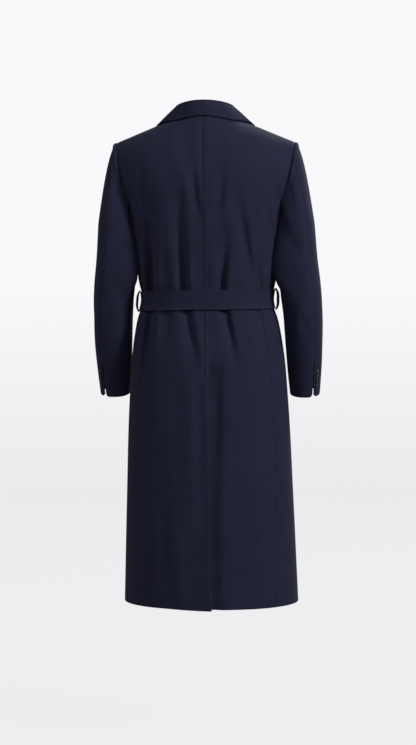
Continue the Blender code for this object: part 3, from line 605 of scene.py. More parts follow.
# %% Back panels
YOKE_COLUMNS = ("share", "forward", "up")
YOKE_PULLS = (
    (0.00, -0.70, 0.80),
    (0.17, -1.00, 0.60),
    (0.33, -1.40, 0.36),
    (0.60, -1.50, 0.26),
    (1.00, -1.10, 0.22),
)
NECK_SHARE = 1.0 / 3.0
NECK_EASE = 0.14
NECK_EASE_STEPS = 15
ARMHOLE_PULL = 0.42
VENT_LAP_TOP = 0.012
VENT_LAP_HEM = 0.014
VENT_UNDERLAP = 0.036
VENT_SINK = 0.0078
VENT_SINK_REACH = 0.050
VENT_SINK_RAMP = 0.030
VENT_SINK_MARGIN = 0.004
FLAP_DROP = 0.003
FLAP_DROP_WIDTH = 0.06
FLAP_DROP_HEIGHT = 0.05
FLAP_LIFT = 0.0040
FLAP_LIFT_WIDTH = 0.014
FLAP_LIFT_RISE = 0.03
FLAP_ROLL = 0.005
SEAM_PRESS = 0.0007
SEAM_PRESS_WIDTH = 0.0045
LAP_SHARE = 0.062
LAP_RAMP = 0.007
LAP_RAMP_COLUMNS = 6
LAP_HEIGHT = 0.0009
LAP_TUCK = 0.0012
LAP_TUCK_WIDTH = 0.004
BACK_WIDTH = 0.19
BACK_STEP = 0.0030
CHEST_OUT = 0.02
CHEST_RISE = 0.95
# Extra columns draw the edge of the lapped middle seam
lap_columns = LAP_SHARE + LAP_RAMP * np.linspace(0.0, 1.0, LAP_RAMP_COLUMNS)
back_shares = np.union1d(edged_shares(BACK_WIDTH, BACK_STEP), lap_columns)


def yoke(bottom, top, bottom_pull, top_pull):
    """Rows from the chest ring up to the neck and shoulder, one cubic a column."""
    length = np.linalg.norm(top - bottom, axis=-1, keepdims=True)
    return hermite(bottom, bottom_pull * length, top, top_pull * length, yoke_shares[:, None, None])


def vent_edge(side):
    """Across place of a back panel's middle edge, positive towards its own side."""
    flap = VENT_LAP_HEM + (VENT_LAP_TOP - VENT_LAP_HEM) * (ring_heights - HEM) / (VENT_TURN - HEM)
    lap, turn = (flap, FLAP_TURN) if side > 0 else (VENT_UNDERLAP, VENT_TURN)
    return -lap * np.clip((VENT_TOP - ring_heights) / (VENT_TOP - turn), 0.0, 1.0)


def back_top(share):
    """The back's top edge with its corner eased: a mean of the sharp edge over a sliding span."""
    span = np.minimum(NECK_EASE, np.minimum(share, 1.0 - share))
    steps = np.linspace(-1.0, 1.0, NECK_EASE_STEPS)[:, None]
    shifted = (share + span * steps).reshape(-1)
    return sharp_top(shifted).reshape(NECK_EASE_STEPS, -1, 3).mean(axis=0)


def sharp_top(share):
    """A quarter of the neck's oval, then the straight shoulder seam."""
    turn = np.minimum(share / NECK_SHARE, 1.0)[:, None] * math.pi / 2
    neck = NECK_SIDE + (NECK_BACK - NECK_SIDE) * np.cos(turn)
    neck[:, 0] = NECK_SIDE[0] * np.sin(turn[:, 0])
    along = np.clip((share - NECK_SHARE) / (1.0 - NECK_SHARE), 0.0, 1.0)[:, None]
    return np.where(along > 0.0, NECK_SIDE + (SHOULDER_POINT - NECK_SIDE) * along, neck)


def sink_under_vent(points):
    """The right back goes in under the left one beside the vent."""
    lap = VENT_LAP_HEM + VENT_SINK_MARGIN
    across = smooth_step((points[..., 0] + lap + VENT_SINK_RAMP) / VENT_SINK_RAMP)
    down = smooth_step((VENT_TOP + VENT_SINK_REACH - points[..., 2]) / VENT_SINK_REACH)
    return VENT_SINK * across * down


def lap_cover(points):
    """One on the strip of the right back that the lapped seam covers, nought beside and below it."""
    across = 1.0 - smooth_step((back_shares - LAP_SHARE) / LAP_RAMP)
    return across * smooth_step((points[..., 2] - FLAP_TURN) / (VENT_TOP - FLAP_TURN))


def back_panel(side):
    """Outer points of one back panel: rings, then cubics up to the neck, less the folds. The right
    one is raised along the lapped seam, tucks past it and sinks under the vent; the left one drops a
    little at its corner, and its free edge is lifted in a roll."""
    edge = turn_at(vent_edge(side), ring_heights, False)[:, None]
    seam = seam_turn("side_back", ring_heights)[:, None]
    rings = ring_point(edge + (seam - edge) * back_shares, ring_heights[:, None])
    top_pull = np.stack([0.0 * back_shares, *row_at(YOKE_PULLS, YOKE_COLUMNS, back_shares)], axis=-1)
    level = np.ones_like(back_shares)
    low_pull = np.stack([ARMHOLE_PULL * back_shares**2, CHEST_OUT * level, CHEST_RISE * level], axis=-1)
    upper = yoke(rings[-1], back_top(back_shares), low_pull, top_pull)
    points = np.concatenate([rings, upper])
    points[..., 0] *= side
    points[..., 1] -= fold_depth(BACK_FOLDS, points)
    if side < 0:
        cover = lap_cover(points)
        points[..., 1] += LAP_HEIGHT * cover - sink_under_vent(points) * (1.0 - cover)
        points[..., 0] += LAP_TUCK * bell(points[..., 0] / LAP_TUCK_WIDTH)
    else:
        beside = points[..., 0] / FLAP_DROP_WIDTH
        above = (points[..., 2] - HEM) / FLAP_DROP_HEIGHT
        points[..., 2] -= FLAP_DROP * np.exp(-(beside**2) - above**2)
        from_edge = points[..., 0] - points[:, :1, 0]
        lift = FLAP_LIFT * bell(from_edge / FLAP_LIFT_WIDTH)
        lift = lift * smooth_step(0.5 + 0.5 * from_edge / FLAP_ROLL)
        points[..., 1] += lift * smooth_step((VENT_TOP - points[..., 2]) / FLAP_LIFT_RISE)
    return points


def pressed(distance):
    """A seam pressed open draws the cloth in along it: a bell of the distance from the seam."""
    return SEAM_PRESS * bell(distance / SEAM_PRESS_WIDTH)


grids = {}
normals = {}


def lay_panels(kind, panel):
    """Keeps the points and the outward directions of both panels of a kind."""
    for word, side in SIDES:
        grids[kind, word] = panel(side)
        normals[kind, word] = normals_of(grids[kind, word], BODY_INSIDE)


lay_panels("back", back_panel)
print("back panels of", grids["back", "left"].shape[:2], "points")

# %% [markdown]
# A side panel fills the space under the arm, and its top edge is scooped for the armhole. It could
# be part of the back, but a tailored coat has a seam there, which is what lets the waist pinch in.

# %% Side panels
PANEL_STEP = 0.0036
SIDE_WIDTH = 0.16
SIDE_BLEND = 0.02
side_shares = edged_shares(SIDE_WIDTH, PANEL_STEP)


def side_panel(side):
    """Outer points of one side panel, from the side back seam to the side front seam."""
    start = seam_turn("side_back", ring_heights)[:, None]
    end = seam_turn("side_front", ring_heights)[:, None]
    scoop = ARMHOLE_SCOOP * np.sin(math.pi * side_shares)
    lift = np.clip((ring_heights - UNDERARM) / (CHEST - UNDERARM), 0.0, 1.0)[:, None]
    points = ring_point(start + (end - start) * side_shares, ring_heights[:, None] - lift * scoop)
    points[..., 0] *= side
    behind_middle = smooth_step(points[..., 1] / SIDE_BLEND + 0.5)
    points[..., 1] -= fold_depth(BACK_FOLDS, points) * behind_middle
    points[..., 1] += fold_depth(FRONT_FOLDS, points) * (1.0 - behind_middle)
    return points


lay_panels("side", side_panel)
print("side panels of", grids["side", "left"].shape[:2], "points")

# %% [markdown]
# The fronts wrap: the left one passes the middle and lies over the right one, which sinks under
# it. Above the break the free edge follows the line on which the lapel is folded back.

# %% Fronts
WRAP_EDGE = -0.088
WRAP_BREAK = -0.440
WRAP_SINK = 0.0085
WRAP_SINK_RAMP = 0.042
WRAP_SINK_MARGIN = 0.006
FRONT_LOW_PULL = np.array([0.0, 0.0, CHEST_RISE])
FRONT_TOP_PULL = np.array([0.0, 1.10, 0.35])
FRONT_WIDTH = 0.29
front_shares = edged_shares(FRONT_WIDTH, PANEL_STEP)


def wrap_edge(height):
    """Across place of the left front edge: upright below the break, then along the roll line."""
    slope = (NECK_SIDE[0] - WRAP_EDGE) / (NECK_SIDE[2] - WRAP_BREAK)
    return np.where(height < WRAP_BREAK, WRAP_EDGE, WRAP_EDGE + slope * (height - WRAP_BREAK))


def sink_under_wrap(points):
    """The right front goes in under the left one before it reaches the left one's edge."""
    edge = wrap_edge(points[..., 2]) - WRAP_SINK_MARGIN
    return WRAP_SINK * smooth_step((points[..., 0] - edge + WRAP_SINK_RAMP) / WRAP_SINK_RAMP)


def front_panel(side):
    """Outer points of one front, from its free edge to the side front seam and armhole."""
    edge = turn_at(wrap_edge(ring_heights), ring_heights, True)[:, None]
    seam = seam_turn("side_front", ring_heights)[:, None]
    rings = ring_point(edge + (seam - edge) * front_shares, ring_heights[:, None])
    top = back_top(NECK_SHARE + (1.0 - NECK_SHARE) * front_shares)
    upper = yoke(rings[-1], top, FRONT_LOW_PULL, FRONT_TOP_PULL)
    points = np.concatenate([rings, upper])
    points[..., 0] *= side
    points[..., 1] += fold_depth(FRONT_FOLDS, points)
    if side < 0:
        points[..., 1] += sink_under_wrap(points)
    return points


lay_panels("front", front_panel)
print("fronts of", grids["front", "left"].shape[:2], "points")

# %% [markdown]
# Where two panels are sewn, their walls take one shared direction, so that the rims meet with no
# gap. They could be welded into one mesh, but then no seam would show and no panel could be lifted
# out as its own piece.

# %% Sewing the body
SEWN_RAMP = 0.02


def share_normals(one, other):
    """Two walls that meet at a seam take the mean of their directions there."""
    mean = unit(one + other)
    one[:] = mean
    other[:] = mean


ring_count = len(ring_heights)
sewn_rows = ROW_AXIS > VENT_TOP + VENT_SINK_REACH
for word, _ in SIDES:
    share_normals(normals["back", word][:ring_count, -1], normals["side", word][:, 0])
    share_normals(normals["front", word][:ring_count, -1], normals["side", word][:, -1])
    for upright in (normals["back", word][-1, back_shares >= NECK_SHARE], normals["front", word][-1]):
        upright[:, 1] = 0.0
    normals["back", word][sewn_rows, 0, 0] = 0.0
    normals["back", word] = unit(normals["back", word])
    normals["front", word] = unit(normals["front", word])
middle_roll = np.where(ROW_AXIS > VENT_TOP, SEAM_ROLL, FREE_ROLL)
sewn = smooth_step((ROW_AXIS - VENT_TOP) / SEWN_RAMP)[:, None]
BODY_ROLLS = {
    "back": (FREE_ROLL, SEAM_ROLL, middle_roll, SEAM_ROLL),
    "side": (FREE_ROLL, SEAM_ROLL, SEAM_ROLL, SEAM_ROLL),
    "front": (FREE_ROLL, SEAM_ROLL, FREE_ROLL, SEAM_ROLL),
}
FIRST_SEWN = {"back": sewn, "side": 1.0, "front": 0.0}
for (panel, word), points in grids.items():
    gap = distance_along(points, 1)
    groove = pressed(gap) * FIRST_SEWN[panel] + pressed(gap[:, -1:] - gap)
    cloth("wool_" + panel + "_" + word, points, normals[panel, word], WALL, BODY_ROLLS[panel], groove=groove)

# %% [markdown]
# A tailored sleeve is two pieces, a top sleeve and an under sleeve, so that it can bend at the
# elbow. Both are rings that shrink and move forward towards the cuff. The cap is a cubic from the
# armhole's edge to the first ring, and it stands up a little beside the seam, as a padded sleeve
# head does. Creases are placed by turn round the arm and by height.

# %% Sleeves
SLEEVE_COLUMNS = ("height", "middle", "half_width", "forward", "half_depth", "slope")
SLEEVE_RINGS = (
    (-0.290, 0.2400, 0.0405, 0.000, 0.083, 0.00),
    (-0.375, 0.2385, 0.0485, 0.001, 0.079, 0.00),
    (-0.460, 0.2430, 0.0525, 0.002, 0.075, 0.02),
    (-0.520, 0.2470, 0.0512, 0.006, 0.071, 0.06),
    (-0.600, 0.2490, 0.0485, 0.020, 0.065, 0.12),
    (-0.680, 0.2490, 0.0435, 0.038, 0.058, 0.17),
    (-0.731, 0.2490, 0.0390, 0.050, 0.054, 0.20),
)
# How far the inner back of the sleeve reaches in behind the body's side, where the arm hangs against it
HUG_COLUMNS = ("height", "reach")
SLEEVE_HUG = (
    (-0.250, 0.006),
    (-0.290, 0.016),
    (-0.330, 0.022),
    (-0.375, 0.027),
    (-0.410, 0.030),
    (-0.440, 0.026),
    (-0.470, 0.010),
    (-0.500, 0.000),
)
HUG_TURN = math.radians(130.0)
HUG_SPREAD = math.radians(26.0)
SLEEVE_SQUARENESS = 2.25
SLEEVE_TOP = SLEEVE_RINGS[0][0]
ARM_MIDDLE = SLEEVE_RINGS[2][1]
CUFF = SLEEVE_RINGS[-1][0]
RING_STEP = 0.0050
LOOP_STATIONS = 64
HIND_SEAM = math.radians(56.0)
FORE_SEAM = math.radians(-110.0)
ARMHOLE_GAP = -0.0004
CAP_OUTWARD = 0.064
CAP_SLANT = 0.14
CAP_SPREAD = 0.030
CAP_DOWN = 0.022
CAP_LENGTH = 0.20
CAP_STEP = 0.0045
CAP_BLEND = 0.008
ROPE_HEIGHT = 0.0034
ROPE_PLACE = 0.0085
ROPE_WIDTH = 0.0070
ROPE_START = 0.0040
ROPE_LOW = 0.6
SLIT_TOP = -0.640
SLIT_RAMP = 0.02
SLIT_SINK = 0.0022
SLIT_REACH = 0.016
NOTCH_HEIGHT = 0.0075
NOTCH_WIDTH = 0.0110
NOTCH_RAMP = 0.02
# Creases lie a little higher on one sleeve than on the other, and start below the cap's seam
CREASE_SHIFT = 0.02
CREASE_START = 0.03
# Each row: place round the arm in degrees, height, lean in degrees a metre, how far the crease runs
# up and down, its depth, and its width in degrees
SLEEVE_CREASES = (
    (128.0, -0.265, 260.0, 0.050, 0.055, 0.0036, 11.0),
    (98.0, -0.320, 320.0, 0.035, 0.050, 0.0024, 10.0),
    (142.0, -0.430, -300.0, 0.040, 0.045, 0.0030, 12.0),
    (112.0, -0.500, -260.0, 0.035, 0.040, 0.0024, 11.0),
    (80.0, -0.545, 240.0, 0.035, 0.035, 0.0018, 11.0),
    (66.0, -0.420, 120.0, 0.060, 0.060, -0.0018, 15.0),
    (205.0, -0.470, 300.0, 0.030, 0.035, 0.0040, 14.0),
    (232.0, -0.510, -280.0, 0.030, 0.035, 0.0032, 14.0),
    (-58.0, -0.465, 250.0, 0.030, 0.035, 0.0032, 14.0),
    (-82.0, -0.520, -250.0, 0.030, 0.035, 0.0030, 14.0),
    (10.0, -0.560, 160.0, 0.040, 0.045, 0.0016, 14.0),
    (-20.0, -0.300, -140.0, 0.050, 0.060, 0.0020, 15.0),
)


def crease_depth(turns, heights, flip):
    """Depth of the sleeve's creases: bells round the arm and along it, as for the body's folds."""
    rows = np.array(SLEEVE_CREASES).T[:, :, None, None]
    turn, height, lean, rise, fall, depth, width = rows
    above = heights[None] - height - CREASE_SHIFT * flip
    aside = np.degrees(turns)[None] - (turn + lean * above)
    aside = (np.mod(aside + 180.0, 360.0) - 180.0) / width
    run = bell(above / np.where(above >= 0.0, rise, fall))
    ridge = bell((np.abs(aside) - RIDGE_PLACE) / RIDGE_WIDTH)
    return (depth * run * (bell(aside) - RIDGE_SHARE * ridge)).sum(axis=0)


def armhole_loop(fields, word, turns):
    """The panels' points or directions along the armhole from the shoulder round the back, read at
    turns of a full circle."""
    chest_row = len(ring_heights) - 1
    loops = []
    for field in (grids, fields):
        behind_arm = field["back", word][chest_row:, -1][::-1]
        under_arm = field["side", word][-1][1:-1]
        before_arm = field["front", word][chest_row:, -1][:-1]
        loops.append(np.concatenate([behind_arm, under_arm, before_arm, behind_arm[:1]]))
    length = distance_along(loops[0], 0)
    return read_along(loops[1], length, np.mod(turns / (2.0 * math.pi), 1.0) * length[-1])


def sleeve_ring(side, height, turns):
    """A ring of the sleeve: |x/width|^n + |y/depth|^n = 1, its back tipped down by the slope."""
    middle, half_width, forward, half_depth, slope = row_at(SLEEVE_RINGS, SLEEVE_COLUMNS, height)
    out, back = rounded(turns, 2.0 / SLEEVE_SQUARENESS)
    hug_height = np.clip(height, SLEEVE_HUG[-1][0], SLEEVE_HUG[0][0])
    hug = from_table(SLEEVE_HUG, HUG_COLUMNS, "reach", hug_height)
    inner = bell((np.mod(turns, 2.0 * math.pi) - HUG_TURN) / HUG_SPREAD)
    x = side * (middle + half_width * out - hug * inner)
    return np.stack([x, -forward + half_depth * back, height - slope * half_depth * back], axis=-1)


def sleeve_rows(word, side, turns):
    """Outer points of a sleeve: the cap from the armhole, then rings down to the cuff."""
    start = armhole_loop(grids, word, turns) + np.array([side * ARMHOLE_GAP, 0.0, 0.0])
    heights = SLEEVE_TOP - edged(SLEEVE_TOP - CUFF, RING_STEP)[len(NEAR_EDGE) - 1:]
    heights = np.insert(heights, 0, SLEEVE_TOP)
    rings = sleeve_ring(side, heights[:, None], turns[None, :])
    loop = armhole_loop(grids, word, np.linspace(0.0, 2.0 * math.pi, LOOP_STATIONS, endpoint=False))
    ray = unit((start - loop.mean(axis=0)) * np.array([0.0, 1.0, 1.0]))
    high = 0.5 + 0.5 * ray[:, 2]
    length = np.linalg.norm(rings[0] - start, axis=-1)
    down = np.where(ray[:, 2] > 0.0, CAP_DOWN + CAP_SPREAD * ray[:, 1] ** 2, length)
    start_pull = np.stack([side * CAP_OUTWARD * high, CAP_SPREAD * ray[:, 1], -down], axis=-1)
    end_pull = np.stack([side * CAP_SLANT * high * length, 0.0 * length, -length], axis=-1)
    t = edged_shares(CAP_LENGTH, CAP_STEP)[:1 - len(NEAR_EDGE), None, None]
    cap = hermite(start, start_pull, rings[0], end_pull, t)
    return np.concatenate([cap, rings]), high


def shape_sleeve(points, turns, side, high, under):
    """Lays the padded head, the creases and the cuff's slit and notch on a sleeve's plain form."""
    arm_axis = points * np.array([0.0, 0.0, 1.0]) + np.array([side * ARM_MIDDLE, 0.0, 0.0])
    normal = normals_of(points, arm_axis)
    gap = distance_along(points, 0)
    across = distance_along(points, 1)
    hind = across if under else across[:, -1:] - across
    rope = ROPE_HEIGHT * bell((gap - ROPE_PLACE) / ROPE_WIDTH)
    rope *= smooth_step(2.0 * high - ROPE_LOW) * smooth_step(gap / ROPE_START)
    inward = crease_depth(np.broadcast_to(turns, points.shape[:2]), points[..., 2], side)
    inward *= smooth_step(gap / CREASE_START)
    low = smooth_step((SLIT_TOP - points[..., 2]) / SLIT_RAMP)
    if under:
        inward = inward + SLIT_SINK * low * smooth_step(1.0 - hind / SLIT_REACH)
    points = points + (rope - inward)[..., None] * normal
    near_cuff = bell((gap[-1:] - gap) / NOTCH_RAMP)
    points[..., 2] += NOTCH_HEIGHT * near_cuff * np.clip(1.0 - hind / NOTCH_WIDTH, 0.0, 1.0) ** 2
    return points, arm_axis


# Name, the turns of its first and last seam, and its rough width
SLEEVE_SPANS = (
    ("top", FORE_SEAM, HIND_SEAM, 0.20),
    ("under", HIND_SEAM, FORE_SEAM + 2.0 * math.pi, 0.22),
)
for word, side in SIDES:
    for part, first, last, width in SLEEVE_SPANS:
        turns = first + (last - first) * edged(width, PANEL_STEP) / width
        plain, high = sleeve_rows(word, side, turns)
        points, arm_axis = shape_sleeve(plain, turns, side, high, part == "under")
        normal = normals_of(points, arm_axis)
        fade = (1.0 - smooth_step(distance_along(points, 0) / CAP_BLEND))[..., None]
        normal = unit(normal + fade * (unit(armhole_loop(normals, word, turns)) - normal))
        gap = distance_along(points, 1)
        groove = pressed(gap) + pressed(gap[:, -1:] - gap)
        cloth("wool_sleeve_" + part + "_" + word, points, normal, WALL,
              (FREE_ROLL, FREE_ROLL, SEAM_ROLL, SEAM_ROLL), groove=groove)
print("sleeves", [name for name in made if "sleeve" in name])

# %% [markdown]
# The collar stands up from the neck seam, rolls over a fold and falls on the shoulders, and its
# ends meet the lapels at the gorge. It is one strip: at each station round the neck a profile goes
# up the stand, round the fold and down the fall, whose edge lies a little off the back.

# %% Collar
COLLAR_WALL = 0.0026
COLLAR_FOLD_RADIUS = 0.0038
COLLAR_GAP = 0.0016
COLLAR_SEAT_LAP = 0.0090
COLLAR_SEAT_SHARE = 1.1
COLLAR_ROUND = 0.004
COLLAR_BACK_SHARE = 0.58
COLLAR_BACK_STATIONS = 46
COLLAR_FRONT_LENGTH = 0.09
COLLAR_STEP = 0.003
STAND_SHARES = np.array([0.0, 0.02, 0.05, 0.12, 0.3, 0.5, 0.7, 0.85])
FOLD_STEPS = 13
FALL_LENGTH = 0.05
FALL_STEP = 0.0026
FALL_BEND = 0.35
# How far down the front's edge the gorge lies, as a share of the way from the shoulder to the chest
GORGE_SHARE = 0.325
STAND_COLUMNS = ("share", "height", "lean_in", "lean_back")
STAND_LINE = (
    (0.00, 0.030, 0.00, 0.10),
    (0.30, 0.030, 0.14, 0.10),
    (0.58, 0.029, 0.26, 0.08),
    (0.80, 0.018, 0.05, -0.20),
    (1.00, 0.007, 0.00, -0.50),
)
# The fall's edge, as shares across the panel it lies on and down from that panel's top
FALL_COLUMNS = ("share", "across", "down")
BACK_FALL = (
    (0.00, 0.0000, 0.0525),
    (0.20, 0.0917, 0.0688),
    (0.40, 0.1917, 0.0900),
    (0.60, 0.3000, 0.1100),
    (0.80, 0.4000, 0.0725),
    (1.00, 0.5333, 0.0000),
)
FRONT_FALL = (
    (0.00, 0.3500, 0.0000),
    (0.50, 0.3273, 0.1500),
    (1.00, 0.2364, 0.3250),
)


def on_panel(points, shares, row, share):
    """Points of a panel at places on the row axis and shares across, straight between its points."""
    r = np.interp(row, ROW_AXIS, np.arange(len(ROW_AXIS)))
    c = np.interp(share, shares, np.arange(len(shares)))
    low_r = np.minimum(r.astype(int), points.shape[0] - 2)
    low_c = np.minimum(c.astype(int), points.shape[1] - 2)
    r = (r - low_r)[..., None]
    c = (c - low_c)[..., None]
    lower = points[low_r, low_c] * (1 - c) + points[low_r, low_c + 1] * c
    upper = points[low_r + 1, low_c] * (1 - c) + points[low_r + 1, low_c + 1] * c
    return lower * (1 - r) + upper * r


def collar_half(word, side, share):
    """Seat, fold and edge lines of one half of the collar, from the middle back to the gorge."""
    top_row = CHEST + 1.0
    behind_neck = (share <= COLLAR_BACK_SHARE)[:, None]
    back_share = np.clip(share / COLLAR_BACK_SHARE, 0.0, 1.0)
    front_share = np.clip((share - COLLAR_BACK_SHARE) / (1.0 - COLLAR_BACK_SHARE), 0.0, 1.0)
    nought = np.zeros_like(share)
    back_seat = on_panel(grids["back", word], back_shares, top_row + nought, back_share * NECK_SHARE)
    front_seat = on_panel(grids["front", word], front_shares, top_row - GORGE_SHARE * front_share, nought)
    seat = np.where(behind_neck, back_seat, front_seat)
    edges = []
    for panel, shares, table, along in (("back", back_shares, BACK_FALL, back_share),
                                        ("front", front_shares, FRONT_FALL, front_share)):
        across, down = row_at(table, FALL_COLUMNS, along)
        raised = grids[panel, word] + (COLLAR_GAP + COLLAR_WALL) * normals[panel, word]
        edges.append(on_panel(raised, shares, top_row - down, across))
    edge = np.where(behind_neck, edges[0], edges[1])
    height, lean_in, lean_back = row_at(STAND_LINE, STAND_COLUMNS, share)
    lean = unit(np.stack([-side * lean_in, lean_back, 1.0 + nought], axis=-1))
    return seat, seat + height[:, None] * lean, edge


def collar_profile(seat, fold, edge):
    """Points across the collar: straight up the stand, half round the fold, a curve down the fall."""
    rise = unit(fold - seat)
    out = edge - fold
    out = unit(out - rise * np.sum(out * rise, axis=-1, keepdims=True))
    inward = COLLAR_SEAT_SHARE * COLLAR_WALL * out
    seat = seat - COLLAR_SEAT_LAP * rise - inward
    base = fold - inward
    stand = seat + (base - seat) * STAND_SHARES[:, None, None]
    angle = np.linspace(math.pi, 0.0, FOLD_STEPS)[:, None, None]
    roll = base + COLLAR_FOLD_RADIUS * (out * (1.0 + np.cos(angle)) + rise * np.sin(angle))
    top = roll[-1]
    bend = top + FALL_BEND * (edge - top) + COLLAR_ROUND * (out - rise)
    t = np.sort(1.0 - edged_shares(FALL_LENGTH, FALL_STEP)[:-len(NEAR_EDGE)])[:, None, None]
    fall = (1 - t) ** 2 * top + 2 * t * (1 - t) * bend + t**2 * edge
    return np.concatenate([stand, roll, fall])


behind_shares = np.linspace(0.0, COLLAR_BACK_SHARE, COLLAR_BACK_STATIONS)
front_line = edged_shares(COLLAR_FRONT_LENGTH, COLLAR_STEP)
front_line = COLLAR_BACK_SHARE + (1.0 - COLLAR_BACK_SHARE) * front_line
station = np.concatenate([behind_shares, front_line[len(NEAR_EDGE):]])
halves = [collar_profile(*collar_half(word, side, station)) for word, side in SIDES]
points = np.concatenate([halves[0][:, :0:-1], halves[1]], axis=1)
normal = unit(np.cross(np.gradient(points, axis=0), np.gradient(points, axis=1)))
middle = len(station) - 1
if np.dot(normal[-2, middle], points[-2, middle] - points[0, middle]) < 0.0:
    normal = -normal
cloth("wool_collar", points, normal, COLLAR_WALL, FREE_RIMS)

# %% [markdown]
# Each lapel is the top of the front, folded back on it. It is drawn as a patch of the front's own
# points, moved out by a thin gap, which widens from the break up to the gorge.

# %% Lapels
LAPEL_WALL = 0.0025
LAPEL_GAP = 0.0014
LAPEL_STEP = 0.005
LAPEL_COLUMN_STEP = 0.003
LAPEL_LENGTH = 0.40
LAPEL_WIDTH = 0.10
# The share of the front that a lapel covers at its widest, just under the collar's notch
LAPEL_WIDEST = 4.1 / 11.0
LAPEL_NOTCH = 0.03125
LAPEL_TOP = CHEST + 1.0 - GORGE_SHARE - LAPEL_NOTCH
LAPEL_BOTTOMS = {"left": -0.4223, "right": -0.2700}
# How wide it is at the break, at the chest and at the top, and how its edge swells between
LAPEL_CLIMB = (0.06, 0.58, 1.0)
LAPEL_SWELL = 0.8
for word, side in SIDES:
    rows = np.interp(edged_shares(LAPEL_LENGTH, LAPEL_STEP), (0.0, 0.5, 1.0),
                     (LAPEL_BOTTOMS[word], CHEST, LAPEL_TOP))
    climb = np.interp(rows, (LAPEL_BOTTOMS["left"], CHEST, LAPEL_TOP), LAPEL_CLIMB)
    width = LAPEL_WIDEST * climb**LAPEL_SWELL
    shares = width[:, None] * edged_shares(LAPEL_WIDTH, LAPEL_COLUMN_STEP)[None, :]
    raised = grids["front", word] + (LAPEL_GAP + LAPEL_WALL) * normals["front", word]
    points = on_panel(raised, front_shares, np.repeat(rows[:, None], shares.shape[1], axis=1), shares)
    cloth("wool_lapel_" + word, points, normals_of(points, BODY_INSIDE), LAPEL_WALL, FREE_RIMS)

# %% [markdown]
# The belt is a doubled strip sewn flat, so it is thick, with round edges and a row of stitches just
# inside each edge. It is a band of ring points a little outside the waist, lower on the wearer's
# left. The stitched rows pull it in, which shows as two faint lines round it.

# %% Belt
BELT_WALL = 0.0032
BELT_GAP = 0.0012
BELT_TILT = 0.018
BELT_STITCH_INSET = 0.0062
BELT_STEP = 0.0016
BELT_SPOKES = 330
# The belt's edge wavers in two sines: height, waves round the waist, phase
BELT_WAVER = ((0.0006, 3.0, 0.7), (0.0004, 7.0, 0.0))
WAIST = (0.0, 0.0, BELT_MIDDLE)
STITCH_SINK = 0.0006
STITCH_SINK_WIDTH = 0.0016


def stitched(distance, width):
    """How far a strip is pulled in along the stitches inside its two edges."""
    nearest = np.minimum(distance, width - distance)
    return STITCH_SINK * bell((nearest - BELT_STITCH_INSET) / STITCH_SINK_WIDTH)


def belt_point(turns, level, out):
    """A point of the belt: a ring point at a wavering height that falls towards the wearer's left."""
    level = level + sum(height * np.sin(waves * turns + phase) for height, waves, phase in BELT_WAVER)
    tilted = level - BELT_TILT * ring_point(turns, level)[..., 0]
    return ring_point(turns, tilted, out)


belt_turns = np.linspace(0.0, 2.0 * math.pi, round(BELT_SPOKES / COARSE), endpoint=False)[None, :]
belt_width = BELT_TOP - BELT_BOTTOM
belt_rows = edged(belt_width, BELT_STEP)[:, None]
points = belt_point(belt_turns, BELT_BOTTOM + belt_rows, BELT_GAP + BELT_WALL)
cloth("wool_belt", points, normals_of(points, WAIST), BELT_WALL, FREE_RIMS,
      wrap=True, groove=np.broadcast_to(stitched(belt_rows, belt_width), points.shape[:2]))

# %% [markdown]
# In front the belt is tied. The knot is a soft rounded block, flat where it lies on the belt, with
# creases that run across it. The two ends hang from it over the skirt, pinched where they leave it.

# %% Tie
KNOT_SIZE = (0.058, 0.020, 0.062)
KNOT_GAP = 0.0004
KNOT_FLAT = 0.7
KNOT_ROUND = 0.5
KNOT_SWELL = 0.55
KNOT_ROWS = 40
KNOT_SPOKES = 72
# Each crease: slope, depth, waves across the knot, phase
KNOT_CREASES = ((-0.9, 0.0024, 1.7, 0.4), (0.5, 0.0014, 3.1, 1.9))
BELT_END_WIDTH = 0.050
BELT_END_COLUMNS = ("side", "middle", "lean", "bottom")
BELT_ENDS = (
    ("left", 0.028, 0.10, -0.830),
    ("right", -0.030, -0.08, -0.800),
)
BELT_END_DROP = 0.004
BELT_END_PINCH = 0.060
BELT_END_STEP = 0.005
BELT_END_COLUMN_STEP = 0.002
# An end's soft wave: height, turn a metre down it, turn across it, and where it is full
END_WAVE = 0.0012
END_WAVE_DOWN = 40.0
END_WAVE_ACROSS = 2.0
END_WAVE_START = 0.08
LAY_GAP = 0.0009

front_depth = from_table(BODY_RINGS, BODY_COLUMNS, "front_depth", BELT_MIDDLE)
knot_seat = -(front_depth + BELT_GAP + BELT_WALL + KNOT_GAP)
spokes = np.linspace(0.0, 2.0 * math.pi, KNOT_SPOKES, endpoint=False)[None, :]
tilt = np.linspace(-math.pi / 2, math.pi / 2, KNOT_ROWS)[:, None]
size = np.maximum(np.cos(tilt), 0.0) ** KNOT_SWELL
across, upward = rounded(spokes, KNOT_ROUND)
x = KNOT_SIZE[0] / 2 * size * across
z = KNOT_SIZE[2] / 2 * size * upward
lift = np.clip((np.sin(tilt) + KNOT_FLAT) / (1.0 + KNOT_FLAT), 0.0, 1.0) + 0.0 * spokes
y = knot_seat - KNOT_SIZE[1] * lift
for slope, depth, waves, phase in KNOT_CREASES:
    y = y + depth * lift * (1.0 + np.sin(2.0 * math.pi * waves * (x + slope * z) / KNOT_SIZE[0] + phase))
add_turned("wool_belt_knot", np.stack([x, y, z + BELT_MIDDLE], axis=-1), wool)

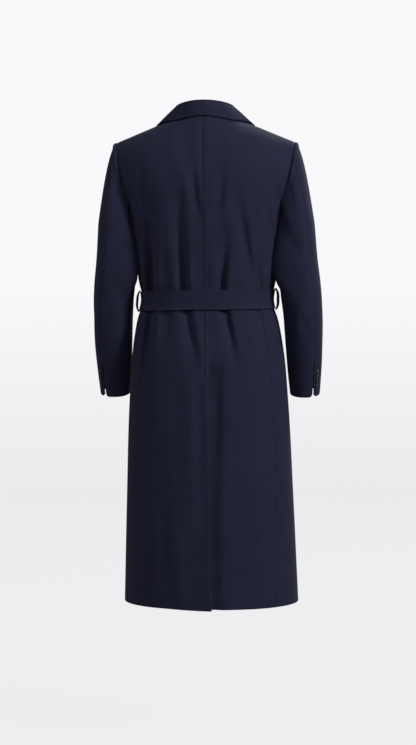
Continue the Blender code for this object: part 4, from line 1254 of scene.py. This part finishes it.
for row in BELT_ENDS:
    end = dict(zip(BELT_END_COLUMNS, row))
    start = BELT_BOTTOM - BELT_END_DROP
    drop = edged(start - end["bottom"], BELT_END_STEP)[:, None]
    half = BELT_END_WIDTH / 2 * (0.5 + 0.5 * smooth_step(drop / BELT_END_PINCH))
    spread = edged_shares(BELT_END_WIDTH, BELT_END_COLUMN_STEP)[None, :] * 2.0 - 1.0
    places = end["middle"] + end["lean"] * drop + half * spread
    heights = np.broadcast_to(start - drop, places.shape)
    wave = END_WAVE * (1.0 + np.sin(END_WAVE_DOWN * drop + END_WAVE_ACROSS * spread))
    wave = wave * smooth_step(drop / END_WAVE_START)
    points = ring_point(turn_at(places, heights, True), heights, LAY_GAP + BELT_WALL + wave)
    inset = stitched((spread + 1.0) * BELT_END_WIDTH / 2, BELT_END_WIDTH)
    cloth("wool_belt_end_" + end["side"], points, normals_of(points, BODY_INSIDE), BELT_WALL, FREE_RIMS,
          groove=np.broadcast_to(inset, points.shape[:2]))
print("tie", [name for name in made if "knot" in name or "end" in name])

# %% [markdown]
# A loop at each side holds the belt up: a narrow folded strip, sewn above and below the belt, that
# stands off it in a flat D. The strip twists a little where it stands free, which shows its face
# from behind.

# %% Belt loops
LOOP_WIDTH = 0.0104
LOOP_WALL = 0.0036
LOOP_BULGE = 0.0118
LOOP_ROUND = 2.4
LOOP_OVERHANG = 0.004
LOOP_LIFT = 0.0009
LOOP_TWIST = math.radians(30.0)
LOOP_REACH = 0.17
LOOP_STEP = 0.0015
LOOP_COLUMN_STEP = 0.001
LOOP_ROLL = 0.001
loop_height = BELT_TOP - BELT_BOTTOM + 2.0 * LOOP_OVERHANG
share = edged_shares(loop_height, LOOP_STEP)
standing = 1.0 - np.abs(2.0 * share - 1.0) ** LOOP_ROUND
twist = LOOP_TWIST * standing
for word, side in SIDES:
    heights = BELT_MIDDLE - BELT_TILT * side * LOOP_REACH + loop_height * (share - 0.5)
    half_width = from_table(BODY_RINGS, BODY_COLUMNS, "half_width", heights)
    out = half_width + LOOP_BULGE * standing + LOOP_WALL + LOOP_LIFT
    line = np.stack([side * out, 0.0 * share, heights], axis=-1)
    turned = np.stack([-side * np.sin(twist), np.cos(twist), 0.0 * twist], axis=-1)
    spread = (edged(LOOP_WIDTH, LOOP_COLUMN_STEP) - LOOP_WIDTH / 2)[None, :, None]
    points = line[:, None, :] + spread * turned[:, None, :]
    cloth("wool_belt_loop_" + word, points, normals_of(points, WAIST), LOOP_WALL, (LOOP_ROLL,) * 4)

# %% [markdown]
# Four small buttons stand in a row up each cuff beside the slit. Each is turned: a profile of
# radius and height spun round its own axis, with a raised rim and a dished face, on which a crossed
# thread is laid later.

# %% Cuff buttons
BUTTON_RADIUS = 0.0054
BUTTON_HEIGHT = 0.0030
BUTTON_SPACING = 0.0118
BUTTON_COUNT = 4
BUTTON_TOP = -0.668
BUTTON_TURN = math.radians(43.0)
BUTTON_SPOKES = 40
# Small steps round the arm and along it, from which the cuff's direction is measured
TURN_STEPS = np.array([-0.05, 0.0, 0.05])
HEIGHT_STEPS = np.array([-0.005, 0.0, 0.005])
WRIST_FORWARD = -0.05
BUTTON_PROFILE = np.array([
    (0.00, 0.00), (0.55, 0.00), (0.85, 0.12), (0.97, 0.28), (1.00, 0.45), (0.98, 0.68), (0.92, 0.88),
    (0.84, 0.98), (0.76, 1.00), (0.68, 0.95), (0.60, 0.84), (0.50, 0.78), (0.25, 0.74), (0.00, 0.73),
]) * np.array([BUTTON_RADIUS, BUTTON_HEIGHT])


def button_frame(side, number):
    """Seat, outward direction and two directions across of a button on the cuff."""
    height = BUTTON_TOP - BUTTON_SPACING * number
    lines = sleeve_ring(side, height + HEIGHT_STEPS[:, None], BUTTON_TURN + TURN_STEPS[None, :])
    normal = normals_of(lines, (side * ARM_MIDDLE, WRIST_FORWARD, height))[1, 1]
    first = unit(np.cross(normal, (0.0, 0.0, 1.0)))
    return lines[1, 1], normal, first, np.cross(normal, first)


def spun(profile, seat, normal, first, second):
    """Points of a profile of radius and height, spun round an axis through the seat."""
    turn = np.linspace(0.0, 2.0 * math.pi, BUTTON_SPOKES, endpoint=False)
    ring = np.cos(turn)[:, None] * first + np.sin(turn)[:, None] * second
    return seat + profile[:, None, :1] * ring[None] + profile[:, None, 1:] * normal


for word, side in SIDES:
    for number in range(BUTTON_COUNT):
        rings = spun(BUTTON_PROFILE, *button_frame(side, number))
        add_turned("horn_cuff_button_" + word + "_" + str(number + 1), rings, horn)
print("buttons", len([name for name in made if "button" in name]))

# %% [markdown]
# Stitches are short capsules of thread laid along a line. Real ones are half a millimetre thick, and
# they are drawn slightly thicker so that a close view shows them. They follow the belt's edges
# and the middle seam, tack the top of the vent in a slanting row, and cross the buttons' faces.

# %% Stitches
STITCH_LENGTH = 0.0034
STITCH_PITCH = 0.0046
STITCH_RADIUS = 0.00035
STITCH_AHEAD = 0.001
BELT_PATH_POINTS = 400
# The middle seam's row runs from above the vent to below the neck, just beside the seam
SEAM_STITCH_INSET = 0.0025
SEAM_STITCH_LOW = 0.004
SEAM_STITCH_TOP = 0.94
SEAM_PATH_POINTS = 300
# The tack: where it starts beside the vent's top, and how far it runs across and down
TACK_START = (0.002, 0.001)
TACK_RUN = (0.030, -0.018)
TACK_POINTS = 20
CROSS_LENGTH = 0.0040
CROSS_RADIUS = 0.00045
CROSS_HEIGHT = 0.80
CAPSULE_SPOKES = 6
CAPSULE_SHARES = np.array([-0.5, -0.42, 0.0, 0.42, 0.5])
CAPSULE_SIZES = np.array([0.05, 0.75, 1.0, 0.75, 0.05])


def capsules(middles, along, out, length, radius):
    """Short rounded rods: at each middle, small rings of points along one direction."""
    along = unit(along)
    aside = unit(np.cross(along, out))
    lift = np.cross(aside, along)
    turn = np.arange(CAPSULE_SPOKES) * 2.0 * math.pi / CAPSULE_SPOKES
    ring = np.cos(turn)[:, None, None] * aside[None] + np.sin(turn)[:, None, None] * lift[None]
    line = middles[None] + length * CAPSULE_SHARES[:, None, None] * along[None]
    points = line[:, None] + radius * CAPSULE_SIZES[:, None, None, None] * ring[None]
    points = np.moveaxis(points, 2, 0)
    index = point_numbers(points[0])
    shift = index.size * np.arange(len(points))[:, None, None]
    return points.reshape(-1, 3), (quads(index, True)[None] + shift).reshape(-1, 4)


def stitch_line(path, out):
    """Stitches at an even pitch along a path of points, each lying along it."""
    length = distance_along(path, 0)
    places = np.arange(STITCH_PITCH / 2, length[-1], STITCH_PITCH * COARSE)
    middles = read_along(path, length, places)
    ahead = read_along(path, length, places + STITCH_AHEAD)
    return capsules(middles, ahead - middles, read_along(out, length, places), STITCH_LENGTH, STITCH_RADIUS)


def add_stitches(name, lines):
    """One object of thread from several stitched lines."""
    shift = np.cumsum([0] + [len(points) for points, _ in lines[:-1]])
    vertices = np.concatenate([points for points, _ in lines])
    faces = np.concatenate([f + s for (_, f), s in zip(lines, shift)])
    add_mesh(name, vertices, faces, thread)


around = np.linspace(0.0, 2.0 * math.pi, BELT_PATH_POINTS)
outward = np.stack([np.sin(around), np.cos(around), 0.0 * around], axis=-1)
stitch_seat = BELT_GAP + BELT_WALL - STITCH_SINK + 0.5 * STITCH_RADIUS
add_stitches("thread_belt", [
    stitch_line(belt_point(around, level, stitch_seat), outward)
    for level in (BELT_BOTTOM + BELT_STITCH_INSET, BELT_TOP - BELT_STITCH_INSET)])

left_back = grids["back", "left"]
seam_rows = np.linspace(VENT_TOP + SEAM_STITCH_LOW, CHEST + SEAM_STITCH_TOP, SEAM_PATH_POINTS)
panel_widths = np.interp(seam_rows, ROW_AXIS, distance_along(left_back, 1)[:, -1])
stitch_shares = SEAM_STITCH_INSET / panel_widths
raised = left_back - (SEAM_PRESS - 0.5 * STITCH_RADIUS) * normals["back", "left"]
middle_path = on_panel(raised, back_shares, seam_rows, stitch_shares)
middle_out = on_panel(normals["back", "left"], back_shares, seam_rows, stitch_shares)
add_stitches("thread_middle_seam", [stitch_line(middle_path, middle_out)])

tack_share = np.linspace(0.0, 1.0, TACK_POINTS)
tack_across = TACK_START[0] + TACK_RUN[0] * tack_share
tack_height = VENT_TOP + TACK_START[1] + TACK_RUN[1] * tack_share
tack = ring_point(turn_at(tack_across, tack_height, False), tack_height)
tack[:, 1] += STITCH_RADIUS * 0.5 - fold_depth(BACK_FOLDS, tack[None])[0]
tack_out = np.broadcast_to(np.array([0.0, 1.0, 0.0]), tack.shape)
add_stitches("thread_vent_tack", [stitch_line(tack, tack_out)])

for word, side in SIDES:
    crosses = []
    for number in range(BUTTON_COUNT):
        seat, normal, first, second = button_frame(side, number)
        face = seat + CROSS_HEIGHT * BUTTON_HEIGHT * normal
        ways = np.stack([first + second, first - second])
        crosses.append(capsules(np.stack([face, face]), ways, np.stack([normal, normal]),
                                CROSS_LENGTH, CROSS_RADIUS))
    add_stitches("thread_cuff_buttons_" + word, crosses)
print("stitches", [name for name in made if name.startswith("thread")])

# %% [markdown]
# The last step sets every piece on the coat's one body, where it replaces its CAD piece. A table
# lists what each sheet of cloth lies on or hangs from.

# %% Pieces
HELD = {
    "back": ("hung", ()),
    "side": ("hung", ("wool_back_{word}",)),
    "front": ("hung", ("wool_back_{word}",)),
    "sleeve_top": ("hung", ("wool_back_{word}", "wool_front_{word}")),
    "sleeve_under": ("hung", ("wool_sleeve_top_{word}", "wool_side_{word}")),
    "lapel": ("folded", ("wool_front_{word}",)),
    "belt_end": ("hung", ("wool_belt_knot", "wool_front_{word}")),
    "belt_loop": ("stretched", ("wool_side_{word}", "wool_belt")),
}


def declare(name, node):
    """A piece rides on the root body and stands for its CAD piece, which is hidden."""
    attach(made[name], "root")
    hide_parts(node)


for kind, (held, rests_on) in HELD.items():
    for word, _ in SIDES:
        node = kind + "_" + word
        declare("wool_" + node, node)
declare("wool_collar", "collar")
declare("wool_belt", "belt")
declare("wool_belt_knot", "belt_knot")
for name in [name for name in made if name.startswith("thread")]:
    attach(made[name], "root")
for word, _ in SIDES:
    for number in range(BUTTON_COUNT):
        node = "cuff_button_" + word + "_" + str(number + 1)
        declare("horn_" + node, node)
print("pieces", len(made))
